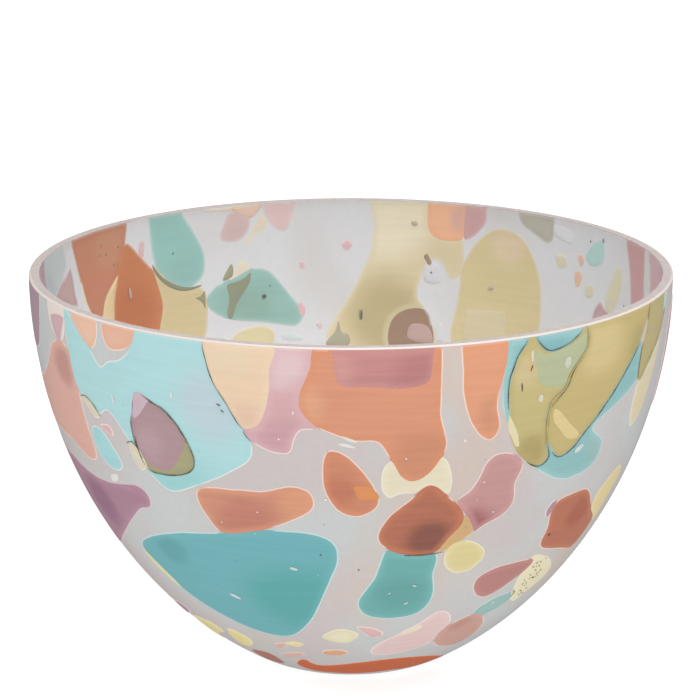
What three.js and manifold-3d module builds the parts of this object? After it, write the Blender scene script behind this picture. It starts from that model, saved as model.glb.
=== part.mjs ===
// Art glass bowl, millimetres, +Z up, origin at the middle of the ground foot, on its resting plane.
// A deep blown bowl in three depths of glass: an opal lining that carries the rim and the foot,
// a pale casing blown over it, and coloured glass shards that lie in the face of the casing.
import * as THREE from "three";
import { mergeVertices } from "three/addons/utils/BufferGeometryUtils.js";
import Module from "manifold-3d";

// Driving dimensions
const RIM_RADIUS = 125;
const HEIGHT = 155;
const POLE_DEPTH = 11.2; // how far the full round of the bowl would reach below the ground foot
const ROUND_OUT = 1.74; // exponent of the wall's curve across: 2 is an ellipse, less is slimmer
const ROUND_DOWN = 2; // exponent of the wall's curve downwards
const WALL = 4;
const BASE_THICKNESS = 5.5;
const RIM_BEVEL = 0.6;
const RIM_LIP = 0.9; // height of the lining's lip that covers the casing's top edge
const FOOT_LIP = 2.5; // length of the lining's lip below the casing, along the wall
const BASE_TURN = 12; // length of wall above the foot where the inside turns into the base
const GAP = 0.3; // between neighbouring pieces of glass

// Depths below the outer face, along the wall's normal
const SHARD_DEPTH = 1.3;
const POCKET_DEPTH = SHARD_DEPTH + GAP;
const CASING_DEPTH = POCKET_DEPTH + 0.5;
const LINING_FACE = CASING_DEPTH + GAP;
const OVERLAP_DEPTH = 0.5; // what is left of an upper shard where it lies on a lower one
const CLEAR = 2; // how far a cutting tool stands out of the face

const AROUND = 44; // flat facets round the bowl
const FACET_LENGTH = 24; // of a facet, down the wall
const CURVE_STEPS = 900; // in the wall's curve, for measuring along it
const EDGE_SLACK = 0.35; // how far a shard's straight edge facets may leave its smooth outline
const FINE_POINTS = 400; // on a smooth outline, before it is thinned
const MM_PER_DEGREE = 1.9; // round the middle of the wall, for smoothing an outline
const LEAST_RADIUS = 20; // used for sizes round the wall near the foot
const MITRE = 0.5; // least cosine at a corner of an outline that is moved outwards
const FAN_REACH = 2; // how many times farther than the wall a cutting fan runs
const WELD = 1e-4; // corners nearer than this are one corner
const FAN_CENTRE = new THREE.Vector3(0, 0, 110); // shard edges point to this place inside the bowl
const DEGREE = Math.PI / 180;

const wasm = await Module();
wasm.setup();

// The wall's outer curve from the rim down to the foot, as points a short way apart.
function wallCurve() {
  const depth = HEIGHT + POLE_DEPTH;
  const points = [];
  for (let i = CURVE_STEPS; i >= 0; i--) {
    const turn = (i / CURVE_STEPS) * (Math.PI / 2);
    const r = RIM_RADIUS * Math.sin(turn) ** (2 / ROUND_OUT);
    const z = depth * (1 - Math.cos(turn) ** (2 / ROUND_DOWN)) - POLE_DEPTH;
    if (z < 0) break;
    points.push(new THREE.Vector2(r, z));
  }
  return points;
}

const curve = wallCurve();
const curveLengths = [0];
for (let i = 1; i < curve.length; i++)
  curveLengths.push(curveLengths[i - 1] + curve[i].distanceTo(curve[i - 1]));
const WALL_LENGTH = curveLengths[curveLengths.length - 1];
const FOOT_RADIUS = curve[curve.length - 1].x;

// The point a distance down the wall from the rim, and a depth below the outer face.
function wallPoint(down, depth = 0) {
  const along = THREE.MathUtils.clamp(down, 0, WALL_LENGTH);
  let i = 1;
  while (i < curve.length - 1 && curveLengths[i] < along) i++;
  const part = (along - curveLengths[i - 1]) / (curveLengths[i] - curveLengths[i - 1]);
  const point = curve[i - 1].clone().lerp(curve[i], part);
  const tangent = curve[i].clone().sub(curve[i - 1]).normalize();
  point.addScaledVector(tangent, down - along);
  return point.addScaledVector(new THREE.Vector2(-tangent.y, tangent.x), -depth);
}

// Points down the wall at one depth, between two distances from the rim.
function wallLine(from, to, depth) {
  const count = Math.ceil((to - from) / FACET_LENGTH);
  return Array.from({ length: count + 1 }, (_, i) => wallPoint(from + ((to - from) * i) / count, depth));
}

// A closed mesh as a solid for joining and cutting, its faces turned to point out.
function solidOf(geometry) {
  const bare = geometry.index ? geometry.toNonIndexed() : geometry.clone();
  bare.deleteAttribute("normal");
  bare.deleteAttribute("uv");
  const merged = mergeVertices(bare, WELD);
  const vertProperties = new Float32Array(merged.attributes.position.array);
  const corners = [];
  const index = merged.index.array;
  for (let i = 0; i < index.length; i += 3) {
    const [a, b, c] = [index[i], index[i + 1], index[i + 2]];
    if (a !== b && b !== c && c !== a) corners.push(a, b, c);
  }
  const build = () =>
    new wasm.Manifold(new wasm.Mesh({ numProp: 3, vertProperties, triVerts: new Uint32Array(corners) }));
  const solid = build();
  if (solid.volume() > 0) return solid;
  corners.reverse(); // its faces pointed inwards
  return build();
}

// A solid turned about the Z axis from a closed profile.
function turned(profile) {
  const lathe = new THREE.LatheGeometry([...profile, profile[0].clone()], AROUND);
  return solidOf(lathe.rotateX(Math.PI / 2));
}

// A shell of glass between two depths of the wall.
function shell(from, to, near, far) {
  return turned([...wallLine(from, to, near), ...wallLine(from, to, far).reverse()]);
}

const TOP = RIM_LIP + GAP;
const FOOT_EDGE = WALL_LENGTH - FOOT_LIP;
const shardShell = shell(TOP, FOOT_EDGE - GAP, 0, SHARD_DEPTH);
const pocketShell = shell(TOP - CLEAR, FOOT_EDGE - GAP, -CLEAR, POCKET_DEPTH);
const recessShell = shell(TOP - CLEAR, FOOT_EDGE, -CLEAR, OVERLAP_DEPTH + GAP);
const underShell = shell(TOP - CLEAR, FOOT_EDGE, OVERLAP_DEPTH, CASING_DEPTH);

// The opal lining: the bowl's inside, its ground rim with the bevel, and its flat ground foot.
function lining() {
  const [rimIn, rimOut] = [wallPoint(0, WALL), wallPoint(0)];
  const inner = wallLine(0, WALL_LENGTH - BASE_TURN, WALL).reverse();
  inner.unshift(new THREE.Vector2(0, BASE_THICKNESS));
  inner[inner.length - 1].set(rimIn.x, HEIGHT);
  const outer = wallLine(RIM_LIP, FOOT_EDGE, LINING_FACE);
  return turned([
    new THREE.Vector2(0, 0),
    new THREE.Vector2(FOOT_RADIUS, 0),
    wallPoint(FOOT_EDGE),
    ...outer.reverse(),
    wallPoint(RIM_LIP),
    new THREE.Vector2(rimOut.x, HEIGHT - RIM_BEVEL),
    new THREE.Vector2(rimOut.x - RIM_BEVEL, HEIGHT),
    ...inner.reverse(),
  ]);
}

// The fewest of a line's points that keep it within a distance of where it was.
function thinned(points, slack) {
  const [first, last] = [points[0], points[points.length - 1]];
  const chord = new THREE.Line3(first, last);
  const nearest = new THREE.Vector3();
  let [widest, at] = [0, 0];
  points.forEach((point, i) => {
    const gap = chord.closestPointToPoint(point, true, nearest).distanceTo(point);
    if (gap > widest) [widest, at] = [gap, i];
  });
  if (widest < slack) return [first, last];
  return [...thinned(points.slice(0, at + 1), slack).slice(0, -1), ...thinned(points.slice(at), slack)];
}

// A shard's edge as points [degrees round, mm down the wall], smooth through its corner points.
function edgeOf(outline) {
  const knots = outline.map(([round, down]) => new THREE.Vector3(round * MM_PER_DEGREE, down, 0));
  const fine = new THREE.CatmullRomCurve3(knots, true, "centripetal").getSpacedPoints(FINE_POINTS);
  const half = FINE_POINTS / 2;
  const points = [
    ...thinned(fine.slice(0, half + 1), EDGE_SLACK).slice(0, -1),
    ...thinned(fine.slice(half), EDGE_SLACK).slice(0, -1),
  ];
  return points.map((p) => new THREE.Vector2(p.x / MM_PER_DEGREE, p.y));
}

// The same edge moved outwards along the glass by a distance.
function grown(edge, distance) {
  const mmPerDegree = (down) => Math.max(wallPoint(down).x, LEAST_RADIUS) * DEGREE;
  const turn = THREE.ShapeUtils.isClockWise(edge) ? 1 : -1;
  return edge.map((point, i) => {
    const scale = mmPerDegree(point.y);
    const before = edge[(i + edge.length - 1) % edge.length];
    const after = edge[(i + 1) % edge.length];
    const side = (a, b) => new THREE.Vector2((b.x - a.x) * scale, b.y - a.y).normalize();
    const [first, second] = [side(before, point), side(point, after)];
    const out = new THREE.Vector2(-(first.y + second.y), first.x + second.x).normalize();
    const square = Math.max(MITRE, out.dot(new THREE.Vector2(-first.y, first.x)));
    const step = (turn * distance) / square;
    return new THREE.Vector2(point.x + (out.x * step) / scale, point.y + out.y * step);
  });
}

// A cutting fan: from a place inside the bowl through a shard's edge and well out of the wall.
function fan(edge) {
  const out = edge.map((point) => {
    const { x: r, y: z } = wallPoint(point.y);
    const round = point.x * DEGREE;
    const place = new THREE.Vector3(r * Math.sin(round), -r * Math.cos(round), z);
    return place.sub(FAN_CENTRE).multiplyScalar(FAN_REACH).add(FAN_CENTRE);
  });
  const corners = [];
  for (const [a, b, c] of THREE.ShapeUtils.triangulateShape(edge, [])) corners.push(out[a], out[b], out[c]);
  const clockwise = THREE.ShapeUtils.isClockWise(edge);
  out.forEach((point, i) => {
    const next = out[(i + 1) % out.length];
    corners.push(...(clockwise ? [FAN_CENTRE, point, next] : [FAN_CENTRE, next, point]));
  });
  return solidOf(new THREE.BufferGeometry().setFromPoints(corners));
}

// The largest of the bodies that a cut leaves.
function largest(solid) {
  return solid.decompose().sort((a, b) => b.volume() - a.volume())[0];
}

function meshOf(name, solid, material) {
  const made = solid.getMesh();
  const geometry = new THREE.BufferGeometry();
  geometry.setAttribute("position", new THREE.BufferAttribute(made.vertProperties, made.numProp));
  geometry.setIndex(new THREE.BufferAttribute(made.triVerts, 1));
  geometry.computeVertexNormals();
  const mesh = new THREE.Mesh(geometry, material);
  mesh.name = name;
  return mesh;
}

function glass(color, roughness = 0.2) {
  return new THREE.MeshStandardMaterial({ color, roughness, metalness: 0 });
}

const GLASS = {
  opal: glass(0xc9c4c4, 0.3),
  casing: glass(0xcbc7c8),
  cream: glass(0xeddcc0),
  lemon: glass(0xe6dbab),
  sand: glass(0xd6c6a0),
  ochre: glass(0xcbb67c),
  olive: glass(0x99946b),
  orange: glass(0xdf9a72),
  peach: glass(0xeab791),
  russet: glass(0xb7714f),
  salmon: glass(0xdda692),
  rose: glass(0xd3a3a6),
  plum: glass(0xa4738a),
  sky: glass(0xb6dfe1),
  teal: glass(0x6aa9aa),
  mist: glass(0xa9b8b4),
};

// The shards, lowest first: where two meet, the later one keeps its edge and the earlier one ends at
// it, and a shard named in "over" runs on below. An outline is [degrees round, mm down the wall], with
// 0 degrees at the front and the right-hand side at +90; a negative distance runs up under the rim.
const UP = -3;
const SHARDS = [
  // Front, upper row, from the left
  {
    name: "plum_strip_left",
    of: "plum",
    outline: [
      [-99, UP], [-71, UP], [-71, 13], [-75, 24], [-96, 20], [-103, 8],
    ],
  },
  {
    name: "cream_rim_left",
    of: "cream",
    outline: [
      [-65, UP], [-58, UP], [-58, 7], [-60, 14], [-63, 12], [-65, 6],
    ],
  },
  {
    name: "salmon_left",
    of: "salmon",
    outline: [
      [-64, 16], [-60, 14], [-57, 17], [-56, 26], [-55, 46], [-55, 59], [-58, 61], [-65, 56],
      [-80, 55], [-93, 49], [-91, 40], [-76, 36], [-68, 26],
    ],
  },
  {
    name: "peach_rim_left",
    of: "peach",
    outline: [
      [-57, UP], [-48.5, UP], [-48.5, 10], [-50, 12], [-53, 7], [-56, 1],
    ],
  },
  {
    name: "peach_rim_right",
    of: "peach",
    outline: [
      [-46.5, UP], [-37.5, UP], [-39, 4.5], [-41, 8.5], [-45, 10], [-46.5, 5],
    ],
  },
  {
    name: "sky_panel",
    of: "sky",
    outline: [
      [-58, 0], [-57.5, 12], [-55.5, 31], [-53, 32], [-50, 38], [-47.5, 34.5], [-42.5, 46],
      [-40, 55.5], [-35.5, 63.5], [-30, 60], [-18, 45.5], [-17, 40], [-19, 29], [-23.5, 14],
      [-24.5, UP], [-37.5, UP], [-39.5, 7.5], [-42.5, 13.5], [-45.5, 15], [-47.5, 18.5], [-50, 13],
      [-53.5, 8],
    ],
  },
  {
    name: "pink_panel",
    of: "rose",
    outline: [
      [-13, UP], [-5, UP], [-6, 10], [-7.5, 20], [-6, 28], [-2, 32], [-8.5, 31], [-10, 37.5],
      [-10.5, 41], [-14, 40.5], [-18, 35], [-18.5, 31], [-15.5, 28], [-14, 18],
    ],
  },
  {
    name: "cream_panel",
    of: "cream",
    outline: [
      [-24.5, UP], [-12, UP], [-13.5, 8], [-13.5, 16], [-14.5, 25], [-16, 31], [-18.5, 32],
      [-21, 23], [-23.5, 14],
    ],
  },
  {
    name: "lemon_collar",
    of: "lemon",
    outline: [
      [6, 45], [11, 40], [16, 43], [18, 53.5], [17.5, 60], [13, 58], [8.5, 57.5], [7, 59.5],
      [5.5, 56],
    ],
  },
  {
    name: "orange_cape",
    of: "orange",
    over: ["lemon_collar"],
    outline: [
      [-5.5, UP], [-6.5, 7.5], [-8.5, 18], [-8.5, 23], [-6, 29.5], [-2.5, 33], [1, 35.5],
      [4.5, 35.5], [7, 44.5], [9.5, 52.5], [12, 52.5], [14.5, 48], [16.5, 38.5], [15, 26.5],
      [15, 8], [14, UP],
    ],
  },
  {
    name: "plum_bar",
    of: "plum",
    over: ["orange_cape"],
    outline: [
      [-2.5, UP], [13, UP], [13.5, 9.5], [13, 14], [8, 16], [3, 15], [-2, 14.5], [-3, 9],
    ],
  },
  {
    name: "orange_tongue",
    of: "orange",
    outline: [
      [18.5, UP], [27.5, UP], [26, 12], [25, 24], [26, 34], [24.5, 38.5], [21.5, 34], [19, 21],
      [18.5, 6],
    ],
  },
  {
    name: "teal_under",
    of: "teal",
    outline: [
      [28, UP], [46, UP], [57, 11], [61.5, 17], [61, 28], [55, 35], [47.5, 42], [52, 50], [51, 59],
      [43, 62], [35, 53.5], [29.5, 40], [26, 23], [26.5, 11],
    ],
  },
  {
    name: "ochre_right",
    of: "ochre",
    over: ["teal_under"],
    outline: [
      [44, UP], [63, UP], [60.5, 11.5], [54.5, 25], [50, 34.5], [45.5, 43], [43, 48.5], [40, 51],
      [37, 45], [35, 36], [34, 26], [37, 14], [42, 5],
    ],
  },
  {
    name: "olive_right",
    of: "olive",
    over: ["teal_under"],
    outline: [
      [31, 1.5], [32, 2], [34.5, 7], [39.5, 5.5], [43, 1.5], [43.5, 8.5], [39.5, 17.5], [39, 22.5],
      [36, 27], [36, 42], [37.5, 50], [35.5, 53], [31.5, 48], [28.5, 39.5], [27.5, 28], [27, 17.5],
      [28.5, 7],
    ],
  },
  {
    name: "sand_strip_right",
    of: "sand",
    outline: [
      [72, 6], [70, 20], [68, 34], [66, 46], [62.5, 50], [60.5, 40], [62, 26], [67, 14],
    ],
  },
  {
    name: "tan_strip_right",
    of: "olive",
    outline: [
      [64, UP], [70.5, UP], [70.5, 12], [66, 21], [61, 30], [60.5, 18.5], [62, 10],
    ],
  },

  // Front, middle row, from the left
  {
    name: "teal_leaf",
    of: "teal",
    outline: [
      [-53.5, 45], [-51.5, 43.5], [-49, 47.5], [-46.5, 58], [-48.5, 61], [-51.5, 60], [-54, 51],
    ],
  },
  {
    name: "plum_wing",
    of: "plum",
    outline: [
      [-86, 56], [-78, 65], [-68, 66], [-61, 68.5], [-55, 69], [-47.5, 66.5], [-44, 65],
      [-41.5, 68], [-42, 74.5], [-45, 76], [-49.5, 83], [-57, 94], [-73, 110], [-98, 105],
      [-104, 85], [-103, 67],
    ],
  },
  {
    name: "ochre_kidney",
    of: "ochre",
    outline: [
      [-36, 27], [-32.5, 30.5], [-29, 42], [-28.5, 49.5], [-30, 53.5], [-35.5, 56.5], [-39.5, 55.5],
      [-41, 42], [-40, 30],
    ],
  },
  {
    name: "plum_kidney",
    of: "plum",
    over: ["ochre_kidney"],
    outline: [
      [-39.5, 24.5], [-38.5, 24.5], [-36, 27], [-33, 30], [-30.5, 36.5], [-29.5, 41], [-31, 47.5],
      [-33.5, 54], [-36.5, 55.5], [-39.5, 53.5], [-41.5, 40.5], [-40.5, 30],
    ],
  },
  {
    name: "orange_oval",
    of: "orange",
    outline: [
      [-4, 39], [-1.5, 40], [2, 47.5], [4.5, 56.5], [5, 62.5], [1.5, 67.5], [-2, 65.5], [-4.5, 57],
      [-5, 48],
    ],
  },
  {
    name: "rose_boot",
    of: "rose",
    outline: [
      [27.7, 44.2], [30.3, 46.2], [32, 51], [31.3, 55], [30.8, 59], [31.6, 64.6], [31.3, 69],
      [29.5, 73], [26, 76], [23.8, 79], [21.6, 71.5], [19.5, 62.7], [21.7, 59.3], [23.1, 54.4],
      [24.2, 47.6], [25.7, 44.6],
    ],
  },
  {
    name: "ochre_link",
    of: "ochre",
    outline: [
      [20.5, 67], [23, 73], [24, 79], [21, 82.5], [18.5, 86.5], [16.5, 86], [18, 80], [20.5, 74],
    ],
  },
  {
    name: "yellow_fin_right",
    of: "lemon",
    outline: [
      [65, 67.5], [67.5, 73], [66, 80], [65, 91], [63, 94], [58.5, 85], [57.5, 77], [59.5, 72.5],
      [62, 69],
    ],
  },
  {
    name: "copper_shard",
    of: "russet",
    outline: [
      [51.6, 70.5], [55, 75.6], [57, 80.6], [58.6, 84.7], [63.3, 92], [63, 98.5], [60.5, 104.5],
      [55.1, 101.6], [43.9, 94.5], [43.1, 89.5], [43.5, 84.7], [42.4, 78.7], [43.3, 72],
      [47.3, 70.5],
    ],
  },

  // Front, lower row, from the left
  {
    name: "teal_keel",
    of: "teal",
    outline: [
      [-52, 97.5], [-47.5, 91.5], [-36.5, 83.5], [-25, 79], [-16.5, 75.5], [-7, 76], [-3.5, 79.5],
      [-2.5, 87], [-5.5, 105.5], [-10.5, 126.5], [-17.5, 139], [-26.5, 139], [-37, 131],
      [-45.5, 120], [-52, 104.5],
    ],
  },
  {
    name: "orange_bar",
    of: "orange",
    outline: [
      [-29, 60.5], [-23, 58], [-16, 58], [-10, 54.5], [-7, 57.5], [-7, 64.5], [-10.5, 69.5],
      [-15, 74], [-20.5, 77.5], [-26, 79], [-28, 73], [-29.5, 65],
    ],
  },
  {
    name: "teal_bell",
    of: "teal",
    outline: [
      [7.5, 82], [12.5, 83], [17.5, 88], [17.5, 99], [19, 111], [17, 121], [10.5, 124], [3.5, 121],
      [1.5, 113], [5, 98.5],
    ],
  },
  {
    name: "russet_shard",
    of: "russet",
    outline: [
      [14, 54.5], [17.5, 60], [21, 68], [21.5, 73], [19, 80], [17, 86.5], [12, 87], [8, 84.5],
      [5, 78.5], [7, 67.5], [10.5, 61],
    ],
  },
  {
    name: "yellow_pebble",
    of: "lemon",
    outline: [
      [22, 82], [26, 85], [28.5, 91], [26.5, 98], [22.5, 99], [19.5, 93], [19.5, 85],
    ],
  },
  {
    name: "speckled_cream",
    of: "lemon",
    outline: [
      [42.9, 99], [47.8, 101.2], [53.2, 108], [56, 114.7], [54, 120.6], [50.6, 125], [49, 129.2],
      [44.2, 122.2], [43, 116], [42.2, 108.4], [42.5, 103.4],
    ],
  },
  {
    name: "red_comet",
    of: "rose",
    outline: [
      [44.5, 102], [41, 110.5], [34.5, 118], [30.5, 114.5], [28.5, 105.5], [33, 100],
    ],
  },
  {
    name: "teal_chip_low",
    of: "teal",
    outline: [
      [33.5, 127], [37, 121.5], [43, 119.5], [45, 126], [41, 131], [37, 132],
    ],
  },
  {
    name: "blush_low",
    of: "rose",
    outline: [
      [22.5, 122], [26.5, 127], [27.5, 143], [21.5, 152], [7, 154], [6.5, 147.5], [14.5, 134.5],
      [19.5, 127],
    ],
  },
  {
    name: "salmon_low",
    of: "salmon",
    outline: [
      [33.5, 129], [39.5, 134], [43.5, 145], [42, 155], [33, 155], [26.5, 147], [27, 136],
    ],
  },
  {
    name: "orange_foot",
    of: "orange",
    outline: [
      [-21.3, 165], [-17.1, 161.5], [-15.4, 167.2], [-12, 168.2], [-4.1, 165.2], [5.2, 162],
      [16.4, 160], [29.9, 163], [42.7, 170], [50, 176], [45, 180], [19, 179], [0, 180], [-20, 179],
      [-24, 172],
    ],
  },

  // Back, seen over the rim from inside, from the left
  {
    name: "mist_back_left",
    of: "mist",
    outline: [
      [-100, UP], [-107, UP], [-110.5, 9], [-109, 13.5], [-104, 20.5], [-99, 13],
    ],
  },
  {
    name: "russet_back",
    of: "russet",
    outline: [
      [-113, UP], [-130.3, UP], [-130.2, 9.3], [-128.3, 16], [-127.2, 22.5], [-123, 30], [-121, 38],
      [-118, 36], [-115.8, 25], [-114.3, 12],
    ],
  },
  {
    name: "orange_back",
    of: "orange",
    outline: [
      [-130.6, 9.5], [-133.2, 14.6], [-136, 20.8], [-138, 27], [-139.2, 35], [-139, 42],
      [-136.5, 50], [-129, 50], [-124, 41], [-125.4, 31], [-127.2, 22.5], [-128.8, 15],
    ],
  },
  {
    name: "ochre_back_left",
    of: "ochre",
    outline: [
      [-137, 21], [-140, 28.5], [-145, 33], [-148.5, 35], [-149, 45], [-147, 57], [-141.5, 60],
      [-136.5, 52], [-138.5, 39],
    ],
  },
  {
    name: "teal_back_left",
    of: "teal",
    outline: [
      [-137, UP], [-142, UP], [-148, 13], [-149.5, 22], [-148.5, 30], [-145, 33.5], [-140.5, 29],
      [-137.5, 21], [-137, 10],
    ],
  },
  {
    name: "rose_back_left",
    of: "rose",
    outline: [
      [-155.5, 3], [-159.5, 6], [-158.5, 14], [-156.5, 16.5], [-153, 15], [-153.5, 10],
    ],
  },
  {
    name: "rose_back_rim",
    of: "rose",
    outline: [
      [-162, UP], [-169, UP], [-168, 8], [-166.5, 14], [-164, 10.5], [-162.5, 4.5],
    ],
  },
  {
    name: "teal_back",
    of: "teal",
    outline: [
      [-149, 40], [-151, 35], [-155.5, 32], [-159.5, 28.5], [-163, 30], [-166, 38], [-170, 50],
      [-168.5, 54.5], [-162, 52.5], [-154.5, 50], [-150, 45.5],
    ],
  },
  {
    name: "olive_back",
    of: "olive",
    over: ["teal_back"],
    outline: [
      [-153.5, 34.5], [-157, 33], [-159.5, 29], [-159, 35.5], [-156, 43], [-154.5, 49.5],
      [-153, 48.5], [-154, 40],
    ],
  },
  {
    name: "yellow_back",
    of: "sand",
    outline: [
      [176, UP], [175.5, 10], [176, 22.5], [179, 37.5], [182.5, 48.5], [185.5, 61.5], [181.5, 68],
      [171.5, 70], [161, 66], [163.5, 48], [166, 43], [165.5, 32.5], [163.5, 25], [161.5, 26],
      [159, 34], [157, 29], [157, 14], [158, UP],
    ],
  },
  {
    name: "umber_back",
    of: "russet",
    outline: [
      [172, 60.5], [171, 51.5], [168, 47.5], [164, 47.5], [162.5, 55], [162, 62], [167, 67],
      [171, 65.5],
    ],
  },
  {
    name: "orange_back_rim",
    of: "orange",
    outline: [
      [163.5, UP], [155, UP], [156, 9], [157, 15.5], [162, 16.5], [164, 14], [164.5, 6],
    ],
  },
  {
    name: "plum_back_rim",
    of: "rose",
    outline: [
      [155.5, UP], [153, UP], [152, 6], [153.5, 11.5], [156.5, 16], [157, 12],
    ],
  },
  {
    name: "honey_back",
    of: "ochre",
    outline: [
      [158, 60], [157.5, 44], [157, 29], [154.5, 17], [149.5, 9], [144.5, 11], [140.5, 21],
      [138, 35], [137.5, 51], [141, 63], [149, 66],
    ],
  },
  {
    name: "olive_back_rim",
    of: "olive",
    outline: [
      [145, UP], [137, UP], [136.2, 5.9], [136.4, 10.3], [137.8, 12.4], [139.8, 10.5], [142.5, 7.9],
      [144.3, 5.4],
    ],
  },
  {
    name: "rose_strip_back",
    of: "rose",
    outline: [
      [114.5, UP], [107.5, UP], [106, 14], [105, 23.5], [110, 28.5], [112, 17],
    ],
  },
  {
    name: "rose_strip_right",
    of: "rose",
    outline: [
      [104.5, UP], [92, UP], [90, 5], [95.5, 13], [101.5, 20], [103, 10],
    ],
  },

  // Back, below what the rim leaves open to view
  {
    name: "teal_back_low",
    of: "teal",
    outline: [
      [-176, 92], [-160, 84], [-146, 90], [-143, 104], [-155, 120], [-170, 124], [-178, 108],
    ],
  },
  {
    name: "plum_back_low",
    of: "plum",
    outline: [
      [-128, 66], [-114, 62], [-110, 76], [-118, 96], [-130, 92],
    ],
  },
  {
    name: "orange_back_low",
    of: "orange",
    outline: [
      [104, 54], [118, 60], [121, 84], [110, 98], [101, 80],
    ],
  },
  {
    name: "sky_back_low",
    of: "sky",
    outline: [
      [132, 82], [150, 78], [160, 90], [152, 112], [136, 116], [128, 100],
    ],
  },
];

// Each shard is cut from the face shell by its own fan. A later shard cuts the ones below it away,
// or, where it lies over one, both keep a share of the depth.
function shardSolids() {
  const cut = SHARDS.map((shard) => {
    const edge = edgeOf(shard.outline);
    return { ...shard, solid: shardShell.intersect(fan(edge)), wide: fan(grown(edge, GAP)) };
  });
  cut.forEach((upper, i) =>
    cut.slice(0, i).forEach((lower) => {
      if (upper.over?.includes(lower.name)) {
        upper.solid = upper.solid.subtract(underShell.intersect(lower.wide));
        lower.solid = lower.solid.subtract(recessShell.intersect(upper.wide));
      } else {
        lower.solid = lower.solid.subtract(upper.wide);
      }
    }),
  );
  return cut;
}

// The casing, with a pocket for each shard.
function casing(cut) {
  const blank = shell(TOP, FOOT_EDGE - GAP, 0, CASING_DEPTH);
  const pockets = cut.map((shard) => shard.wide.intersect(pocketShell));
  return largest(blank.subtract(wasm.Manifold.union(pockets)));
}

const shards = shardSolids();
const bowl = new THREE.Group();
bowl.add(meshOf("inner_lining", lining(), GLASS.opal));
bowl.add(meshOf("outer_casing", casing(shards), GLASS.casing));
shards.forEach(({ name, of, solid }) => bowl.add(meshOf(name, largest(solid), GLASS[of])));

export default bowl;
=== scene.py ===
# Art glass bowl: a deep blown bowl, opal inside, cased in pale glass, with coloured shards in its face.
# Metres, +Z up, the ground foot on z = 0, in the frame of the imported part.
import math
import bmesh
import bpy
import numpy as np
from mathutils import Matrix, Vector
from mathutils.geometry import delaunay_2d_cdt


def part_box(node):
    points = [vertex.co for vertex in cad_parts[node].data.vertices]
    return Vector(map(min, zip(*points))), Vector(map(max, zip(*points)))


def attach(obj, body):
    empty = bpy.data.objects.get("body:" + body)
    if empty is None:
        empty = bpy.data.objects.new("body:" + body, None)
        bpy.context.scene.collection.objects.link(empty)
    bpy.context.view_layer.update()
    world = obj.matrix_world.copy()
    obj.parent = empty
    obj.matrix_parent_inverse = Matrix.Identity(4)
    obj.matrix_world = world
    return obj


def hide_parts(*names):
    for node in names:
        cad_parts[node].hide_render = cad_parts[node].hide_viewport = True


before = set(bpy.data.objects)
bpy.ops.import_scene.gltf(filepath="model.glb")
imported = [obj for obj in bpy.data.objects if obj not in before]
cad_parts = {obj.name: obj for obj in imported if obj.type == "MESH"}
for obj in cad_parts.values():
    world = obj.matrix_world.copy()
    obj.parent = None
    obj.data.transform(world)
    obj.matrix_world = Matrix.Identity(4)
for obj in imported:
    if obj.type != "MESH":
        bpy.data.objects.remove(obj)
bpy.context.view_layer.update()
MM = 0.001

# ---------------------------------------------------------------------------------------------
# Inner lining: the first gather of milky opal glass, blown thin, so the colours behind it show
# through. It carries the rim, which is cut flat, ground to a satin and bevelled at its outer
# edge, and the flat ground foot that the bowl stands on.
# ---------------------------------------------------------------------------------------------
RIM_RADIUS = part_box("inner_lining")[1][0]
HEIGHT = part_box("inner_lining")[1][2]
POLE_DEPTH = 11.2 * MM  # the pole of the wall's curve lies this far below the foot
ROUND_OUT = 1.74
ROUND_DOWN = 2.0
WALL = 4 * MM
BASE_THICKNESS = 5.5 * MM
BASE_SWEEP = 12 * MM  # the floor of the bowl curves into the wall this far above the foot
BASE_POWER = 2.2
LINING_FACE = 2.4 * MM
RIM_BEVEL = 0.6 * MM
INNER_BEVEL = 0.15 * MM
EDGE_LOOP = 0.1 * MM
RIM_GRIND = 0.9 * MM
FOOT_LIP = 2.5 * MM
FOOT_BEVEL = 0.4 * MM
FOOT_GRIND = 1.4 * MM
SEGMENTS = 240


def blown_curve(steps=3000):
    """Radius and height of the wall's outer curve, from the rim down to the foot."""
    turn = np.linspace(np.pi / 2, 0, steps)
    r = RIM_RADIUS * np.sin(turn) ** (2 / ROUND_OUT)
    z = (HEIGHT + POLE_DEPTH) * (1 - np.cos(turn) ** (2 / ROUND_DOWN)) - POLE_DEPTH
    return r[z >= 0], z[z >= 0]


curve_r, curve_z = blown_curve()
curve_down = np.concatenate([[0], np.cumsum(np.hypot(np.diff(curve_r), np.diff(curve_z)))])
curve_slope_r = np.gradient(curve_r, curve_down)
curve_slope_z = np.gradient(curve_z, curve_down)
WALL_LENGTH = curve_down[-1]
FOOT_RADIUS = curve_r[-1]


def wall_at(down, depth):
    """Radius and height at a distance down the wall and a depth below its outer face."""
    r, z = np.interp(down, curve_down, curve_r), np.interp(down, curve_down, curve_z)
    slope_r, slope_z = np.interp(down, curve_down, curve_slope_r), np.interp(down, curve_down, curve_slope_z)
    length = np.hypot(slope_r, slope_z)
    return r + depth * slope_z / length, z - depth * slope_r / length


def on_wall(around, down, depth):
    """Places on the wall: angle round from the front, distance down from the rim, depth."""
    r, z = wall_at(down, depth)
    return np.stack([r * np.sin(around), -r * np.cos(around), z], axis=-1)


def set_out(name, mesh):
    """An object that holds a mesh, unturned at the origin."""
    piece = bpy.data.objects.new(name, mesh)
    bpy.context.collection.objects.link(piece)
    return piece


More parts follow.
